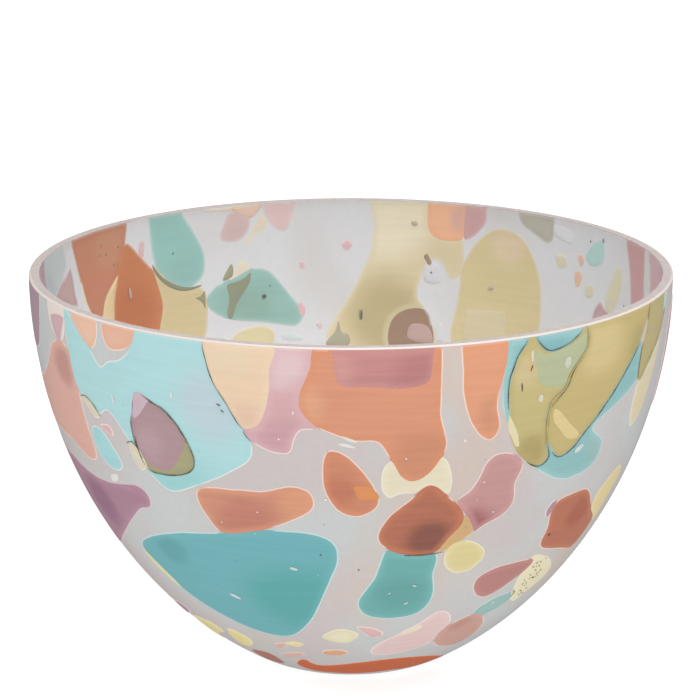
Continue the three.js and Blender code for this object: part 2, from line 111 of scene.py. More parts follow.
def turned_piece(name, profile):
    """A closed piece turned about Z from (radius, height) points; points on the axis become poles."""
    points, faces, rows = [], [], []
    for r, z in profile:
        if r < 1e-7:
            rows.append([len(points)] * SEGMENTS)
            points.append((0, 0, z))
            continue
        rows.append(list(range(len(points), len(points) + SEGMENTS)))
        angles = np.arange(SEGMENTS) * 2 * np.pi / SEGMENTS
        points.extend(zip(r * np.sin(angles), -r * np.cos(angles), np.full(SEGMENTS, z)))
    for low, high in zip(rows, rows[1:] + rows[:1]):
        for i in range(SEGMENTS):
            j = (i + 1) % SEGMENTS
            corners = list(dict.fromkeys([low[i], low[j], high[j], high[i]]))
            if len(corners) > 2:
                faces.append(corners)
    mesh = bpy.data.meshes.new(name)
    mesh.from_pydata([tuple(map(float, p)) for p in points], [], faces)
    mesh.validate()
    mesh.shade_smooth()
    return set_out(name, mesh)


def wall_line(start, end, depth, step=2 * MM):
    """(radius, height) points down the wall at one depth."""
    down = np.linspace(start, end, max(2, int((end - start) / step)))
    return list(zip(*wall_at(down, depth)))


def lining_profile():
    inside = wall_line(0, WALL_LENGTH - BASE_SWEEP, WALL)[::-1]
    base_edge, base_height = inside[0]
    base = [(r, BASE_THICKNESS + (base_height - BASE_THICKNESS) * (r / base_edge) ** BASE_POWER)
            for r in np.linspace(0, base_edge, 14)[:-1]]
    inner_edge, flat_edge = inside[-1][0], RIM_RADIUS - RIM_BEVEL
    inside[-1:] = [wall_at(5 * EDGE_LOOP, WALL), (inner_edge, HEIGHT - INNER_BEVEL)]
    rim = [(inner_edge + INNER_BEVEL, HEIGHT), (flat_edge - EDGE_LOOP, HEIGHT), (flat_edge, HEIGHT),
           (RIM_RADIUS, HEIGHT - RIM_BEVEL)]
    outside = wall_line(RIM_BEVEL + EDGE_LOOP, WALL_LENGTH - FOOT_LIP, LINING_FACE)
    foot = [wall_at(WALL_LENGTH - FOOT_LIP, 0), (FOOT_RADIUS, FOOT_BEVEL), (FOOT_RADIUS - FOOT_BEVEL, 0)]
    return base + inside + rim + outside + foot + [(0, 0)]


lining = turned_piece("lining", lining_profile())
lining.data.set_sharp_from_angle(angle=math.radians(28))


def point_values(piece, name, values):
    layer = piece.data.attributes.new(name, "FLOAT", "POINT")
    layer.data.foreach_set("value", np.asarray(values, dtype=np.float32))


def places_of(piece):
    places = np.empty(len(piece.data.vertices) * 3, dtype=np.float32)
    piece.data.vertices.foreach_get("co", places)
    return places.reshape(-1, 3).astype(float)


lining_places = places_of(lining)
lining_radius, lining_height = np.hypot(lining_places[:, 0], lining_places[:, 1]), lining_places[:, 2]
grind_depth = np.where(lining_radius > RIM_RADIUS - WALL / 2, RIM_GRIND, 2 * INNER_BEVEL)
ground_rim = lining_height > HEIGHT - grind_depth
ground_foot = (lining_height < FOOT_GRIND) & (lining_radius > FOOT_RADIUS - 1 * MM) | (lining_height < EDGE_LOOP)
thick_base = np.clip((FOOT_RADIUS + 10 * MM - lining_radius) / (8 * MM), 0, 1)
wall_radius = np.interp(lining_height, curve_z[::-1], curve_r[::-1])
under_casing = (wall_radius - lining_radius < 3.1 * MM) & (lining_height > 6 * MM)
point_values(lining, "ground", ground_rim | ground_foot)
# Marks the rim's outer bevel for a painted highlight: a lighter line along the rim's outer edge.
point_values(lining, "bevel_highlight", ground_rim & (lining_radius > RIM_RADIUS - RIM_BEVEL - EDGE_LOOP / 5))
point_values(lining, "base", thick_base**2 * (3 - 2 * thick_base))
point_values(lining, "hidden", under_casing & ~ground_rim)


def add_node(tree, kind, place, **sockets):
    node = tree.nodes.new(kind)
    node.location = place
    for name, value in sockets.items():
        node.inputs[name.replace("_", " ")].default_value = value
    return node


def join(tree, pairs):
    for start, end in pairs:
        tree.links.new(start, end)


def srgb(red, green, blue):
    """A colour given in the 0 to 255 values of a glass maker's swatch."""
    linear = [c / 255 / 12.92 if c <= 10 else ((c / 255 + 0.055) / 1.055) ** 2.4 for c in (red, green, blue)]
    return (*linear, 1.0)


def new_glass(name, roughness):
    """A material with a Principled shader, its tree, and the shader."""
    material = bpy.data.materials.new(name)
    material.use_nodes = True
    tree = material.node_tree
    shader = tree.nodes["Principled BSDF"]
    shader.inputs["Roughness"].default_value = roughness
    shader.inputs["IOR"].default_value = 1.5
    shader.inputs["Specular IOR Level"].default_value = 0.3
    return material, tree, shader


def read_value(tree, name, place):
    node = add_node(tree, "ShaderNodeAttribute", place)
    node.attribute_name = name
    return node.outputs["Fac"]


def blend(tree, place, amount, low, high, kind="RGBA"):
    """A Mix node between two colours or two numbers; each may be a socket or a plain value."""
    node = tree.nodes.new("ShaderNodeMix")
    node.data_type, node.location = kind, place
    first = 6 if kind == "RGBA" else 2
    for index, value in ((0, amount), (first, low), (first + 1, high)):
        if isinstance(value, bpy.types.NodeSocket):
            tree.links.new(value, node.inputs[index])
        else:
            node.inputs[index].default_value = value
    return node.outputs[2 if kind == "RGBA" else 0]


def times(tree, place, first, second):
    """The product of two sockets."""
    node = add_node(tree, "ShaderNodeMath", place)
    node.operation = "MULTIPLY"
    join(tree, [(first, node.inputs[0]), (second, node.inputs[1])])
    return node.outputs[0]


def cloud(tree, place, scale, detail=3.0, distortion=0.0):
    """Noise on the piece's own places, 0 to 1."""
    spot = add_node(tree, "ShaderNodeTexCoord", (place[0] - 200, place[1]))
    noise = add_node(tree, "ShaderNodeTexNoise", place, Scale=scale, Detail=detail, Distortion=distortion)
    tree.links.new(spot.outputs["Object"], noise.inputs["Vector"])
    return noise.outputs["Fac"]


def spread(tree, place, value, low, high):
    """Stretches a value from low..high to 0..1, smoothly."""
    node = add_node(tree, "ShaderNodeMapRange", place, From_Min=low, From_Max=high)
    node.interpolation_type = "SMOOTHSTEP"
    tree.links.new(value, node.inputs["Value"])
    return node.outputs["Result"]


def opal_glass():
    material, tree, shader = new_glass("opal lining", 0.16)
    ground, bevel_highlight, hidden, base = [read_value(tree, name, (-900, -200 * i))
                                   for i, name in enumerate(("ground", "bevel_highlight", "hidden", "base"), 1)]
    milk = blend(tree, (-600, 300), cloud(tree, (-900, 300), 16, 4), srgb(218, 219, 222), srgb(230, 228, 226))
    wall = blend(tree, (-400, 300), base, milk, srgb(200, 199, 200))
    grain = cloud(tree, (-900, 60), 900, 2)
    satin = blend(tree, (-600, 60), grain, srgb(152, 142, 140), srgb(200, 189, 185))
    # Painted highlight: the outer bevel of the ground rim is painted lighter than the satin beside it.
    satin = blend(tree, (-350, 120), bevel_highlight, satin, srgb(206, 196, 190))
    milky = blend(tree, (-600, -450), base, 0.08, 1.0, "FLOAT")
    veil = blend(tree, (-350, -400), hidden, milky, 0.0, "FLOAT")
    seen_by = add_node(tree, "ShaderNodeLightPath", (-600, -800))
    frosted = blend(tree, (-350, -700), seen_by.outputs["Is Camera Ray"], 0.3, 1.0, "FLOAT")
    join(tree, [(blend(tree, (-150, 200), ground, wall, satin), shader.inputs["Base Color"]),
                (blend(tree, (-150, -300), ground, veil, frosted, "FLOAT"), shader.inputs["Alpha"]),
                (blend(tree, (-150, -80), ground, 0.16, 0.42, "FLOAT"), shader.inputs["Roughness"])])
    return material


lining.data.materials.append(opal_glass())
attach(lining, "root")
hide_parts("inner_lining")

# ---------------------------------------------------------------------------------------------
# Outer casing: a second gather of pale grey-lavender glass, drawn over the lining and the
# shards. It is not one even colour: warm and cool clouds drift through it, as they do where
# colour from the shards has melted into the gather.
# ---------------------------------------------------------------------------------------------
CASING_DEPTH = 2.2 * MM
CASING_TOP, CASING_END = RIM_BEVEL + 0.05 * MM, WALL_LENGTH - FOOT_LIP - 0.1 * MM
FAN_HEIGHT = 110 * MM  # the edges of the shards all point to this height on the bowl's axis
fan_steep = np.arctan2(curve_z - FAN_HEIGHT, curve_r)
casing_face, casing_back = [wall_line(CASING_TOP, CASING_END, depth) for depth in (0, CASING_DEPTH)]
casing = turned_piece("casing", casing_back[::-1] + casing_face)
casing.data.set_sharp_from_angle(angle=math.radians(40))


def mark_inside(piece, middle_depth):
    """Stores 1 on the face that looks into the bowl and 0 on the outer face."""
    places = places_of(piece)
    steep = np.arctan2(places[:, 2] - FAN_HEIGHT, np.hypot(places[:, 0], places[:, 1]))
    down = np.interp(-steep, -fan_steep, curve_down)
    middle_r, middle_z = wall_at(down, middle_depth)
    reach = np.hypot(places[:, 0], places[:, 1]) ** 2 + (places[:, 2] - FAN_HEIGHT) ** 2
    point_values(piece, "inside", reach < middle_r**2 + (middle_z - FAN_HEIGHT) ** 2)


mark_inside(casing, CASING_DEPTH / 2)


def casing_glass():
    material, tree, shader = new_glass("pale casing", 0.3)
    cool = spread(tree, (-900, 400), cloud(tree, (-1150, 400), 17, 2, 0.6), 0.42, 0.66)
    warm = spread(tree, (-900, 200), cloud(tree, (-1150, 200), 11, 2, 0.9), 0.5, 0.72)
    grain = cloud(tree, (-1150, 0), 420, 2)
    body = blend(tree, (-650, 400), cool, srgb(196, 188, 186), srgb(193, 196, 195))
    body = blend(tree, (-450, 300), warm, body, srgb(202, 186, 176))
    # Painted light: the face that looks into the bowl is painted far lighter than the outer body, standing in
    # for light that comes through the glass.
    inside = blend(tree, (-450, 80), warm, srgb(232, 232, 233), srgb(226, 223, 221))
    face = blend(tree, (-250, 200), read_value(tree, "inside", (-650, 0)), body, inside)
    fine = blend(tree, (-250, -60), grain, srgb(236, 236, 236), srgb(255, 255, 255))
    shade = add_node(tree, "ShaderNodeMix", (-60, 120))
    shade.data_type, shade.blend_type = "RGBA", "MULTIPLY"
    shade.inputs[0].default_value = 0.5
    join(tree, [(face, shade.inputs[6]), (fine, shade.inputs[7]),
                (shade.outputs[2], shader.inputs["Base Color"])])
    return material


casing.data.materials.append(casing_glass())
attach(casing, "root")
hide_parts("outer_casing")

# ---------------------------------------------------------------------------------------------
# Sky, teal and mist shards: chips of transparent blue-green glass, picked up hot between the two
# gathers and melted flat. Each runs right through the casing, so it shows from both sides, and
# its edge has drawn a thin pale line where it meets the casing.
# ---------------------------------------------------------------------------------------------
CELL = 0.4 * MM
MARGIN_CELLS = 12
BLUR_CELLS = 1.6
OUTLINE_LEVEL = 0.38
OUTLINE_SPACING = 0.8 * MM
SHORTEST_LOOP = 16  # cells
RIM_LINE = 0.68 * MM
RIM_REACH = 1.5 * MM
MELT_ROUND = 0.9 * MM
SHARP_FROM, SHARP_SPAN = math.radians(42), math.radians(26)
SHARD_PROUD = 0.09 * MM
SHARD_MESH = 2.0 * MM
GRID_GAP = 1.75 * MM
LAYER_STEP = 0.07 * MM
FACE_CLEARANCE = 0.02 * MM
TOUCH_REACH, TOUCH_FADE = 1.9 * MM, 0.8 * MM
RIM_SHADE, RIM_FADE = 0.7 * MM, 0.5 * MM
EDGE_ROUND = 0.7 * MM
EDGE_RINGS = ((0.45 * MM, 0.4 * MM), (1.1 * MM, 1.0 * MM))  # depth in from the edge, least gap to it


def smoothed(values, spread_cells, axis=0, mode="edge"):
    """Values blurred along one axis."""
    reach = int(spread_cells * 3) + 1
    weight = np.exp(-0.5 * (np.arange(-reach, reach + 1) / spread_cells) ** 2)
    weight /= weight.sum()
    pad = [(reach, reach) if a == axis else (0, 0) for a in range(values.ndim)]
    wide = np.pad(values, pad, mode=mode)
    return sum(w * np.take(wide, np.arange(i, i + values.shape[axis]), axis=axis) for i, w in enumerate(weight))


def outer_triangles(node):
    """The triangles of a CAD node that face out, as (angle round, distance down the wall) corners."""
    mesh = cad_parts[node].data
    mesh.calc_loop_triangles()
    places = np.array([v.co for v in mesh.vertices])
    corners = places[np.array([t.vertices for t in mesh.loop_triangles])]
    from_fan = corners - np.array([0, 0, FAN_HEIGHT])
    normals = np.cross(corners[:, 1] - corners[:, 0], corners[:, 2] - corners[:, 0])
    normals /= np.maximum(np.linalg.norm(normals, axis=1, keepdims=True), 1e-15)
    middle = from_fan.mean(axis=1)
    out = (normals * middle).sum(axis=1) > 0.35 * np.linalg.norm(middle, axis=1)
    corners, from_fan = corners[out], from_fan[out]
    mean = corners.reshape(-1, 3).mean(axis=0)
    home = math.atan2(mean[0], -mean[1])
    around = np.arctan2(corners[..., 0], -corners[..., 1]) - home
    around = (around + np.pi) % (2 * np.pi) - np.pi + home
    steep = np.arctan2(from_fan[..., 2], np.hypot(corners[..., 0], corners[..., 1]))
    return home, np.stack([around, np.interp(-steep, -fan_steep, curve_down)], axis=-1)


def level_loops(field, level):
    """Closed loops of (column, row) points where a grid of values crosses a level."""
    step = {}
    above = field > level
    rows, columns = np.nonzero((above[:-1, :-1] != above[1:, :-1]) | (above[:-1, :-1] != above[:-1, 1:])
                               | (above[:-1, :-1] != above[1:, 1:]))
    for i, j in zip(rows.tolist(), columns.tolist()):
        square = [(i, j), (i, j + 1), (i + 1, j + 1), (i + 1, j)]
        ins, outs = [], []
        for a, b in zip(square, square[1:] + square[:1]):
            if above[a] and not above[b]:
                outs.append((a, b))
            elif above[b] and not above[a]:
                ins.append((b, a))
        for start, end in zip(ins, outs):
            step[start] = end
    loops = []
    while step:
        key = next(iter(step))
        loop = []
        while key in step:
            (ai, aj), (bi, bj) = key
            part = (level - field[ai, aj]) / (field[bi, bj] - field[ai, aj])
            loop.append((aj + (bj - aj) * part, ai + (bi - ai) * part))
            key = step.pop(key)
        loops.append(np.array(loop))
    return loops


def even_loop(loop, spacing):
    """The same closed loop with evenly spaced points."""
    ring = np.vstack([loop, loop[:1]])
    length = np.concatenate([[0], np.cumsum(np.linalg.norm(np.diff(ring, axis=0), axis=1))])
    count = max(12, int(round(length[-1] / spacing)))
    at = np.arange(count) * length[-1] / count
    return np.stack([np.interp(at, length, ring[:, k]) for k in (0, 1)], axis=-1)


def melted(loop):
    """A loop with its facets melted round, its sharp corners kept, and its rim edge left straight."""
    loop = even_loop(loop, OUTLINE_SPACING)
    ahead, behind = np.roll(loop, -4, axis=0) - loop, loop - np.roll(loop, 4, axis=0)
    turn = np.abs(np.arctan2(np.cross(behind, ahead), (ahead * behind).sum(axis=1)))
    keep = smoothed(np.clip((turn - SHARP_FROM) / SHARP_SPAN, 0, 1), 1.0, mode="wrap")[:, None]
    at_rim = loop[:, 1:] < RIM_LINE + 0.3 * MM
    soft = smoothed(loop, MELT_ROUND / OUTLINE_SPACING, mode="wrap")
    mixed = soft + (loop - soft) * np.maximum(keep, at_rim)
    mixed = smoothed(mixed, 0.7, mode="wrap")
    mixed[at_rim[:, 0], 1] = RIM_LINE
    mixed[:, 1] = np.maximum(mixed[:, 1], RIM_LINE)
    return even_loop(mixed, OUTLINE_SPACING)


def shard_outline(node):
    """A shard's middle angle and radius, and its loops of (distance round from there, distance down)."""
    home, triangles = outer_triangles(node)
    radius = float(wall_at(triangles[..., 1].mean(), 0)[0])
    flat = triangles.copy()
    flat[..., 0] = (flat[..., 0] - home) * radius
    meets_rim = flat[..., 1].min() < RIM_REACH
    low = flat.reshape(-1, 2).min(axis=0) - MARGIN_CELLS * CELL
    size = ((flat.reshape(-1, 2).max(axis=0) - low) / CELL).astype(int) + MARGIN_CELLS
    mask = np.zeros((size[1], size[0]))
    for corners in (flat - low) / CELL:
        c0, c1 = np.floor(corners.min(axis=0)).astype(int), np.ceil(corners.max(axis=0)).astype(int) + 1
        x, y = np.meshgrid(np.arange(c0[0], c1[0]), np.arange(c0[1], c1[1]))
        inside = np.ones(x.shape, bool)
        (ax, ay), (bx, by), (cx, cy) = corners
        side = np.sign((bx - ax) * (cy - ay) - (by - ay) * (cx - ax))
        for (px, py), (qx, qy) in (((ax, ay), (bx, by)), ((bx, by), (cx, cy)), ((cx, cy), (ax, ay))):
            inside &= side * ((qx - px) * (y - py) - (qy - py) * (x - px)) >= -1e-9
        patch = mask[c0[1]:c1[1], c0[0]:c1[0]]
        np.maximum(patch, inside, out=patch)
    if meets_rim:
        rim_row = int(round((RIM_REACH + 0.6 * MM - low[1]) / CELL))
        mask[:rim_row] = mask[rim_row]
    field = smoothed(smoothed(mask, BLUR_CELLS, 0), BLUR_CELLS, 1)
    if meets_rim:
        field[: int(round((RIM_LINE - low[1]) / CELL))] = 0
    loops = []
    for loop in level_loops(np.pad(field, 1), OUTLINE_LEVEL):
        if len(loop) < SHORTEST_LOOP:
            continue
        loop = (loop - 1) * CELL + low
        if meets_rim:
            loop[loop[:, 1] < RIM_LINE + 1.2 * CELL, 1] = RIM_LINE
        loops.append(melted(loop))
    return home, radius, loops


outlines = {node: shard_outline(node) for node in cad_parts
            if node not in ("inner_lining", "outer_casing")}


def as_places(home, radius, flat, depth=0.0):
    """Places in the wall of flat (distance round, distance down) points."""
    return on_wall(home + flat[..., 0] / radius, flat[..., 1], depth)


def neighbour_tree(skip):
    """Every outline point of the other shards, to find the stretches where two shards touch."""
    places = [as_places(h, r, loop) for n, (h, r, loops) in outlines.items() if n not in skip for loop in loops]
    return np.concatenate(places)


def nearest(places, others):
    """Distance from each place to the nearest of the others."""
    found, batch = [], 400
    for i in range(0, len(places), batch):
        gap = places[i:i + batch, None] - others[None]
        found.append(np.sqrt((gap**2).sum(axis=-1).min(axis=1)))
    return np.concatenate(found)


def within(points, loops):
    """Whether each flat point lies inside the loops, by counting crossings."""
    count = np.zeros(len(points), int)
    for loop in loops:
        x0, y0 = loop[:, 0], loop[:, 1]
        x1, y1 = np.roll(x0, -1), np.roll(y0, -1)
        px, py = points[:, :1], points[:, 1:]
        spans = (y0 > py) != (y1 > py)
        cross_x = x0 + (py - y0) * (x1 - x0) / np.where(y1 == y0, 1e-12, y1 - y0)
        count += (spans & (px < cross_x)).sum(axis=1)
    return count % 2 == 1


def fused_piece(name, home, radius, loops, proud, inner_proud, cell=SHARD_MESH, clouds=(), tree_skip=()):
    """A closed shard in the wall, with edge distance, free edge, inner face and clouds as attributes."""
    edge_points = np.concatenate(loops)
    rings = []
    for loop in loops:
        along = np.roll(loop, -1, axis=0) - np.roll(loop, 1, axis=0)
        normal = np.stack([-along[:, 1], along[:, 0]], axis=-1) / np.linalg.norm(along, axis=1, keepdims=True)
        rings += [(loop + side * depth * normal, gap) for depth, gap in EDGE_RINGS for side in (1, -1)]
    low, high = edge_points.min(axis=0), edge_points.max(axis=0)
    columns = np.arange(low[0], high[0], cell)
    rows = np.arange(low[1], high[1], cell * 0.866)
    grid = np.array([(x + (i % 2) * cell / 2, y) for i, y in enumerate(rows) for x in columns]).reshape(-1, 2)
    kept = []
    for points, gap in rings + [(grid, GRID_GAP)]:
        points = points[within(points, loops)]
        if len(points):
            kept.append(points[nearest(points, edge_points) >= gap])
    flat = np.concatenate([edge_points] + kept)
    edges, start = [], 0
    for loop in loops:
        count = len(loop)
        edges += [(start + i, start + (i + 1) % count) for i in range(count)]
        start += count
    cut = delaunay_2d_cdt([Vector(p / MM) for p in flat], edges, [], 0, 1e-5)
    flat = np.array([tuple(p) for p in cut[0]]) * MM
    triangles = np.array([t for t in cut[2] if len(t) == 3])
    triangles = triangles[within(flat[triangles].mean(axis=1), loops)]
    from_edge = nearest(flat, edge_points)
    corners = flat[triangles]
    turned = np.cross(corners[:, 1] - corners[:, 0], corners[:, 2] - corners[:, 0]) < 0
    triangles[turned] = triangles[turned][:, ::-1]

    lift = 1 - np.exp(-from_edge / EDGE_ROUND)
    outer = as_places(home, radius, flat, -FACE_CLEARANCE - proud * lift)
    inner = as_places(home, radius, flat, CASING_DEPTH + FACE_CLEARANCE + inner_proud * lift)
    count = len(flat)
    triangles = triangles.tolist()
    directed = dict.fromkeys(pair for a, b, c in triangles for pair in ((a, b), (b, c), (c, a)))
    faces = [t[::-1] for t in triangles] + [[i + count for i in t] for t in triangles]
    faces += [(a, b, b + count, a + count) for a, b in directed if (b, a) not in directed]
    mesh = bpy.data.meshes.new(name)
    mesh.from_pydata(np.vstack([outer, inner]).tolist(), [], faces)
    mesh.validate()
    mesh.shade_smooth()
    mesh.set_sharp_from_angle(angle=math.radians(50))
    piece = set_out(name, mesh)

    others = neighbour_tree((name, *tree_skip))
    touching = np.clip((TOUCH_REACH - nearest(as_places(home, radius, flat), others)) / TOUCH_FADE, 0, 1)
    at_rim = np.clip((RIM_LINE + RIM_SHADE - flat[:, 1]) / RIM_FADE, 0, 1)
    point_values(piece, "edge", np.tile(from_edge / MM, 2))
    point_values(piece, "free", np.tile(1 - np.maximum(touching, at_rim), 2))
    point_values(piece, "inside", np.repeat([0.0, 1.0], count))
    for number, (around, down, reach) in enumerate(clouds, 1):
        off = (np.radians(around) - home + np.pi) % (2 * np.pi) - np.pi
        gap = np.hypot(flat[:, 0] - off * radius, flat[:, 1] - down * MM)
        point_values(piece, "cloud_%d" % number, np.tile(np.exp(-((gap / (reach * MM)) ** 2)), 2))
    lay = mesh.uv_layers.new(name="wall")
    corner_of = np.empty(len(mesh.loops), dtype=np.int32)
    mesh.loops.foreach_get("vertex_index", corner_of)
    lay.data.foreach_set("uv", (np.tile(flat, (2, 1))[corner_of] * 10).astype(np.float32).ravel())
    return piece


def group_socket(group, name, direction, kind, value=None):
    """A named socket of a node group, and its identifier."""
    socket = group.interface.new_socket(name=name, in_out=direction, socket_type="NodeSocket" + kind)
    if value is not None:
        socket.default_value = value
    return socket.identifier


def scaled(tree, place, colour, amount):
    """A colour times a plain value or a socket."""
    node = add_node(tree, "ShaderNodeVectorMath", place)
    node.operation = "SCALE"
    join(tree, [(colour, node.inputs[0])])
    if isinstance(amount, bpy.types.NodeSocket):
        join(tree, [(amount, node.inputs["Scale"])])
    else:
        node.inputs["Scale"].default_value = amount
    return node.outputs[0]


def fused_colour_group():
    """Colour of a melted shard: clouds, blowing streaks, a deeper band near the edge and a pale line on it, with
    painted shade on the outer face and painted light on the inner face.
    """
    group = bpy.data.node_groups.new("fused colour", "ShaderNodeTree")
    for name in ("Glass", "Band", "Cloud One", "Cloud Two", "Pale Line", "Casing"):
        group_socket(group, name, "INPUT", "Color", (0.5, 0.5, 0.5, 1))
    for name in ("Band Strength", "Streaks", "Line Strength", "Inside Depth"):
        group_socket(group, name, "INPUT", "Float", 0.5)
    for name, kind in (("Colour", "Color"), ("Roughness", "Float"), ("Height", "Float")):
        group_socket(group, name, "OUTPUT", kind)
    start, end = add_node(group, "NodeGroupInput", (-1500, 0)), add_node(group, "NodeGroupOutput", (900, 0))
    given = start.outputs
    noise = cloud(group, (-1300, 500), 38, 3, 0.4)
    colour = given["Glass"]
    for number, tint in ((1, "Cloud One"), (2, "Cloud Two")):
        x, y = -1500 + 200 * number, 500 - 200 * number
        mask = read_value(group, "cloud_%d" % number, (x, y))
        wander = blend(group, (x + 200, y), 0.3, mask, noise, "FLOAT")
        drift = spread(group, (x + 400, y), wander, 0.28, 0.72)
        colour = blend(group, (x + 600, y + 100), drift, colour, given[tint])
    edge = read_value(group, "edge", (-1300, -150))
    band = times(group, (-800, -150), spread(group, (-1000, -150), edge, 3.6, 0.9), given["Band Strength"])
    colour = blend(group, (-300, 300), band, colour, given["Band"])

    uv = add_node(group, "ShaderNodeUVMap", (-1500, -500))
    uv.uv_map = "wall"
    stretch = add_node(group, "ShaderNodeMapping", (-1300, -500), Scale=(1.3, 22, 1))
    streak = add_node(group, "ShaderNodeTexNoise", (-1100, -500), Scale=2.2, Detail=4.0, Distortion=0.5)
    join(group, [(uv.outputs[0], stretch.inputs["Vector"]), (stretch.outputs[0], streak.inputs["Vector"])])
    dark = spread(group, (-900, -420), streak.outputs["Fac"], 0.3, 0.72)
    dark = blend(group, (-700, -420), dark, 0.93, 1.035, "FLOAT")
    dark = blend(group, (-500, -420), given["Streaks"], 1.0, dark, "FLOAT")
    streaked = scaled(group, (-100, 200), colour, dark)

    free_line = times(group, (-800, -1000), read_value(group, "free", (-1000, -1000)), given["Line Strength"])
    line = times(group, (-600, -800), spread(group, (-1000, -800), edge, 0.75, 0.1), free_line)
    # Painted shade: the outer face is darkened by a fixed factor.
    outside = scaled(group, (300, 150), blend(group, (100, 200), line, streaked, given["Pale Line"]), 0.88)

    milky = blend(group, (100, -100), given["Inside Depth"], streaked, given["Casing"])
    melt = times(group, (100, -300), spread(group, (-100, -300), edge, 1.5, -0.5), free_line)
    # Painted light: the inner face is lightened by a fixed factor and blends towards the casing's painted-light
    # inner colour.
    inner = blend(group, (300, -150), melt, scaled(group, (200, -100), milky, 1.16), given["Casing"])
    face = read_value(group, "inside", (300, 300))
    rough = blend(group, (550, -150), streak.outputs["Fac"], 0.26, 0.4, "FLOAT")
    join(group, [(blend(group, (550, 100), face, outside, inner), end.inputs["Colour"]),
                 (rough, end.inputs["Roughness"]), (streak.outputs["Fac"], end.inputs["Height"])])
    return group


FUSED_COLOUR = fused_colour_group()
# The casing's inner face colour with painted light: much lighter than its outer face, standing in for light
# through the wall.
CASING_INSIDE_LIT = srgb(229, 228, 229)


def shard_glass(name, glass, band, clouds, band_strength=0.5, line=(250, 236, 226), streaks=0.45,
                line_strength=0.8, inside_depth=0.05):
    """A shard's finish: glass whose colour comes from the shared fused colour group."""
    material, tree, shader = new_glass(name, 0.3)
    node = tree.nodes.new("ShaderNodeGroup")
    node.node_tree, node.location = FUSED_COLOUR, (-400, 200)
    tints = [*clouds, glass, glass][:2]
    for socket, value in (("Glass", srgb(*glass)), ("Band", srgb(*band)), ("Cloud One", srgb(*tints[0])),
                          ("Cloud Two", srgb(*tints[1])), ("Pale Line", srgb(*line)), ("Casing", CASING_INSIDE_LIT),
                          ("Band Strength", band_strength), ("Streaks", streaks),
                          ("Line Strength", line_strength), ("Inside Depth", inside_depth)):
        node.inputs[socket].default_value = value
    bump = add_node(tree, "ShaderNodeBump", (-180, -200), Strength=0.05, Distance=0.0004)
    join(tree, [(node.outputs["Colour"], shader.inputs["Base Color"]),
                (node.outputs["Roughness"], shader.inputs["Roughness"]),
                (node.outputs["Height"], bump.inputs["Height"]),
                (bump.outputs["Normal"], shader.inputs["Normal"])])
    return material


def set_shard(node, slot, glass, band, *clouds, layer=0, inner_layer=0, **finish):
    """Makes the shard of a CAD node. A cloud is (red, green, blue, degrees round, mm down, mm across)."""
    home, radius, loops = outlines[node]
    piece = fused_piece(node + "_glass", home, radius, loops, proud=SHARD_PROUD + LAYER_STEP * layer,
                        inner_proud=(0.1 - 0.03 * layer + 0.1 * inner_layer) * MM,
                        clouds=[c[3:] for c in clouds], tree_skip=(node,))
    finish = shard_glass(node.replace("_", " "), glass, band, [c[:3] for c in clouds], **finish)
    piece.data.materials.append(finish)
    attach(piece, "root")
    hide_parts(node)


set_shard("sky_panel", "sky", (178, 219, 221), (168, 218, 220), (158, 208, 209, -33, 72, 30),
    (190, 210, 217, -24, 24, 16), band_strength=0.3)
set_shard("teal_keel", "teal", (112, 178, 184), (124, 188, 191), (102, 166, 172, -41, 95, 8),
    (96, 170, 170, -12, 112, 24), band_strength=0.35, line=(226, 240, 240))
set_shard("teal_bell", "teal", (112, 175, 172), (128, 190, 188), (104, 166, 162, 11, 108, 12),
    line=(226, 240, 240))
set_shard("teal_leaf", "teal", (160, 208, 212), (176, 220, 222), (168, 216, 218, -50, 52, 8), band_strength=0.4)
set_shard("teal_under", "teal", (145, 192, 192), (164, 206, 206), (157, 190, 186, 52, 50, 12),
    (134, 184, 188, 35, 3, 10), line=(214, 232, 232))
set_shard("teal_chip_low", "teal", (160, 194, 188), (150, 190, 184), line=(228, 238, 234))
set_shard("teal_back_left", "teal", (143, 190, 182), (152, 198, 190), (140, 184, 176, -145, 30, 14),
    inside_depth=0.0)
set_shard("teal_back", "teal", (143, 182, 172), (152, 190, 182), (136, 172, 158, -158, 48, 12),
    inside_depth=0.0)
set_shard("mist_back_left", "mist", (188, 196, 196), (192, 200, 200), (172, 184, 186, -100, 20, 12))
set_shard("teal_back_low", "teal", (120, 178, 176), (134, 190, 188), line=(226, 240, 240))
set_shard("sky_back_low", "sky", (180, 214, 218), (190, 222, 226))

# ---------------------------------------------------------------------------------------------
# Orange, peach and salmon shards: opaque selenium colours that strike deeper where the glass is
# thin, so each has a richer orange band just inside its pale edge.
# ---------------------------------------------------------------------------------------------
set_shard("salmon_left", "salmon", (224, 175, 160), (228, 178, 160), (200, 150, 140, -60, 24, 9))
set_shard("peach_rim_left", "peach", (238, 195, 170), (236, 184, 154))
set_shard("peach_rim_right", "peach", (232, 184, 160), (230, 174, 144))
set_shard("orange_cape", "orange", (219, 151, 121), (224, 148, 108), (208, 143, 112, 12, 42, 13),
    (224, 164, 130, -8, 22, 9), layer=1, streaks=0.7)
set_shard("orange_tongue", "orange", (226, 160, 126), (228, 156, 116), (212, 150, 120, 25, 28, 9), streaks=0.6)
set_shard("orange_oval", "orange", (206, 138, 108), (222, 146, 108), (196, 124, 98, -2, 56, 7), streaks=0.6)
set_shard("orange_bar", "orange", (208, 145, 120), (224, 158, 126), (196, 130, 112, -20, 74, 14),
    (220, 156, 122, -9, 62, 9), streaks=0.7)
set_shard("orange_foot", "orange", (207, 100, 50), (218, 110, 54), line=(236, 214, 200))
set_shard("orange_back", "orange", (192, 115, 66), (198, 124, 72), (184, 104, 56, -130, 40, 14),
    inside_depth=0.0, streaks=0.6)
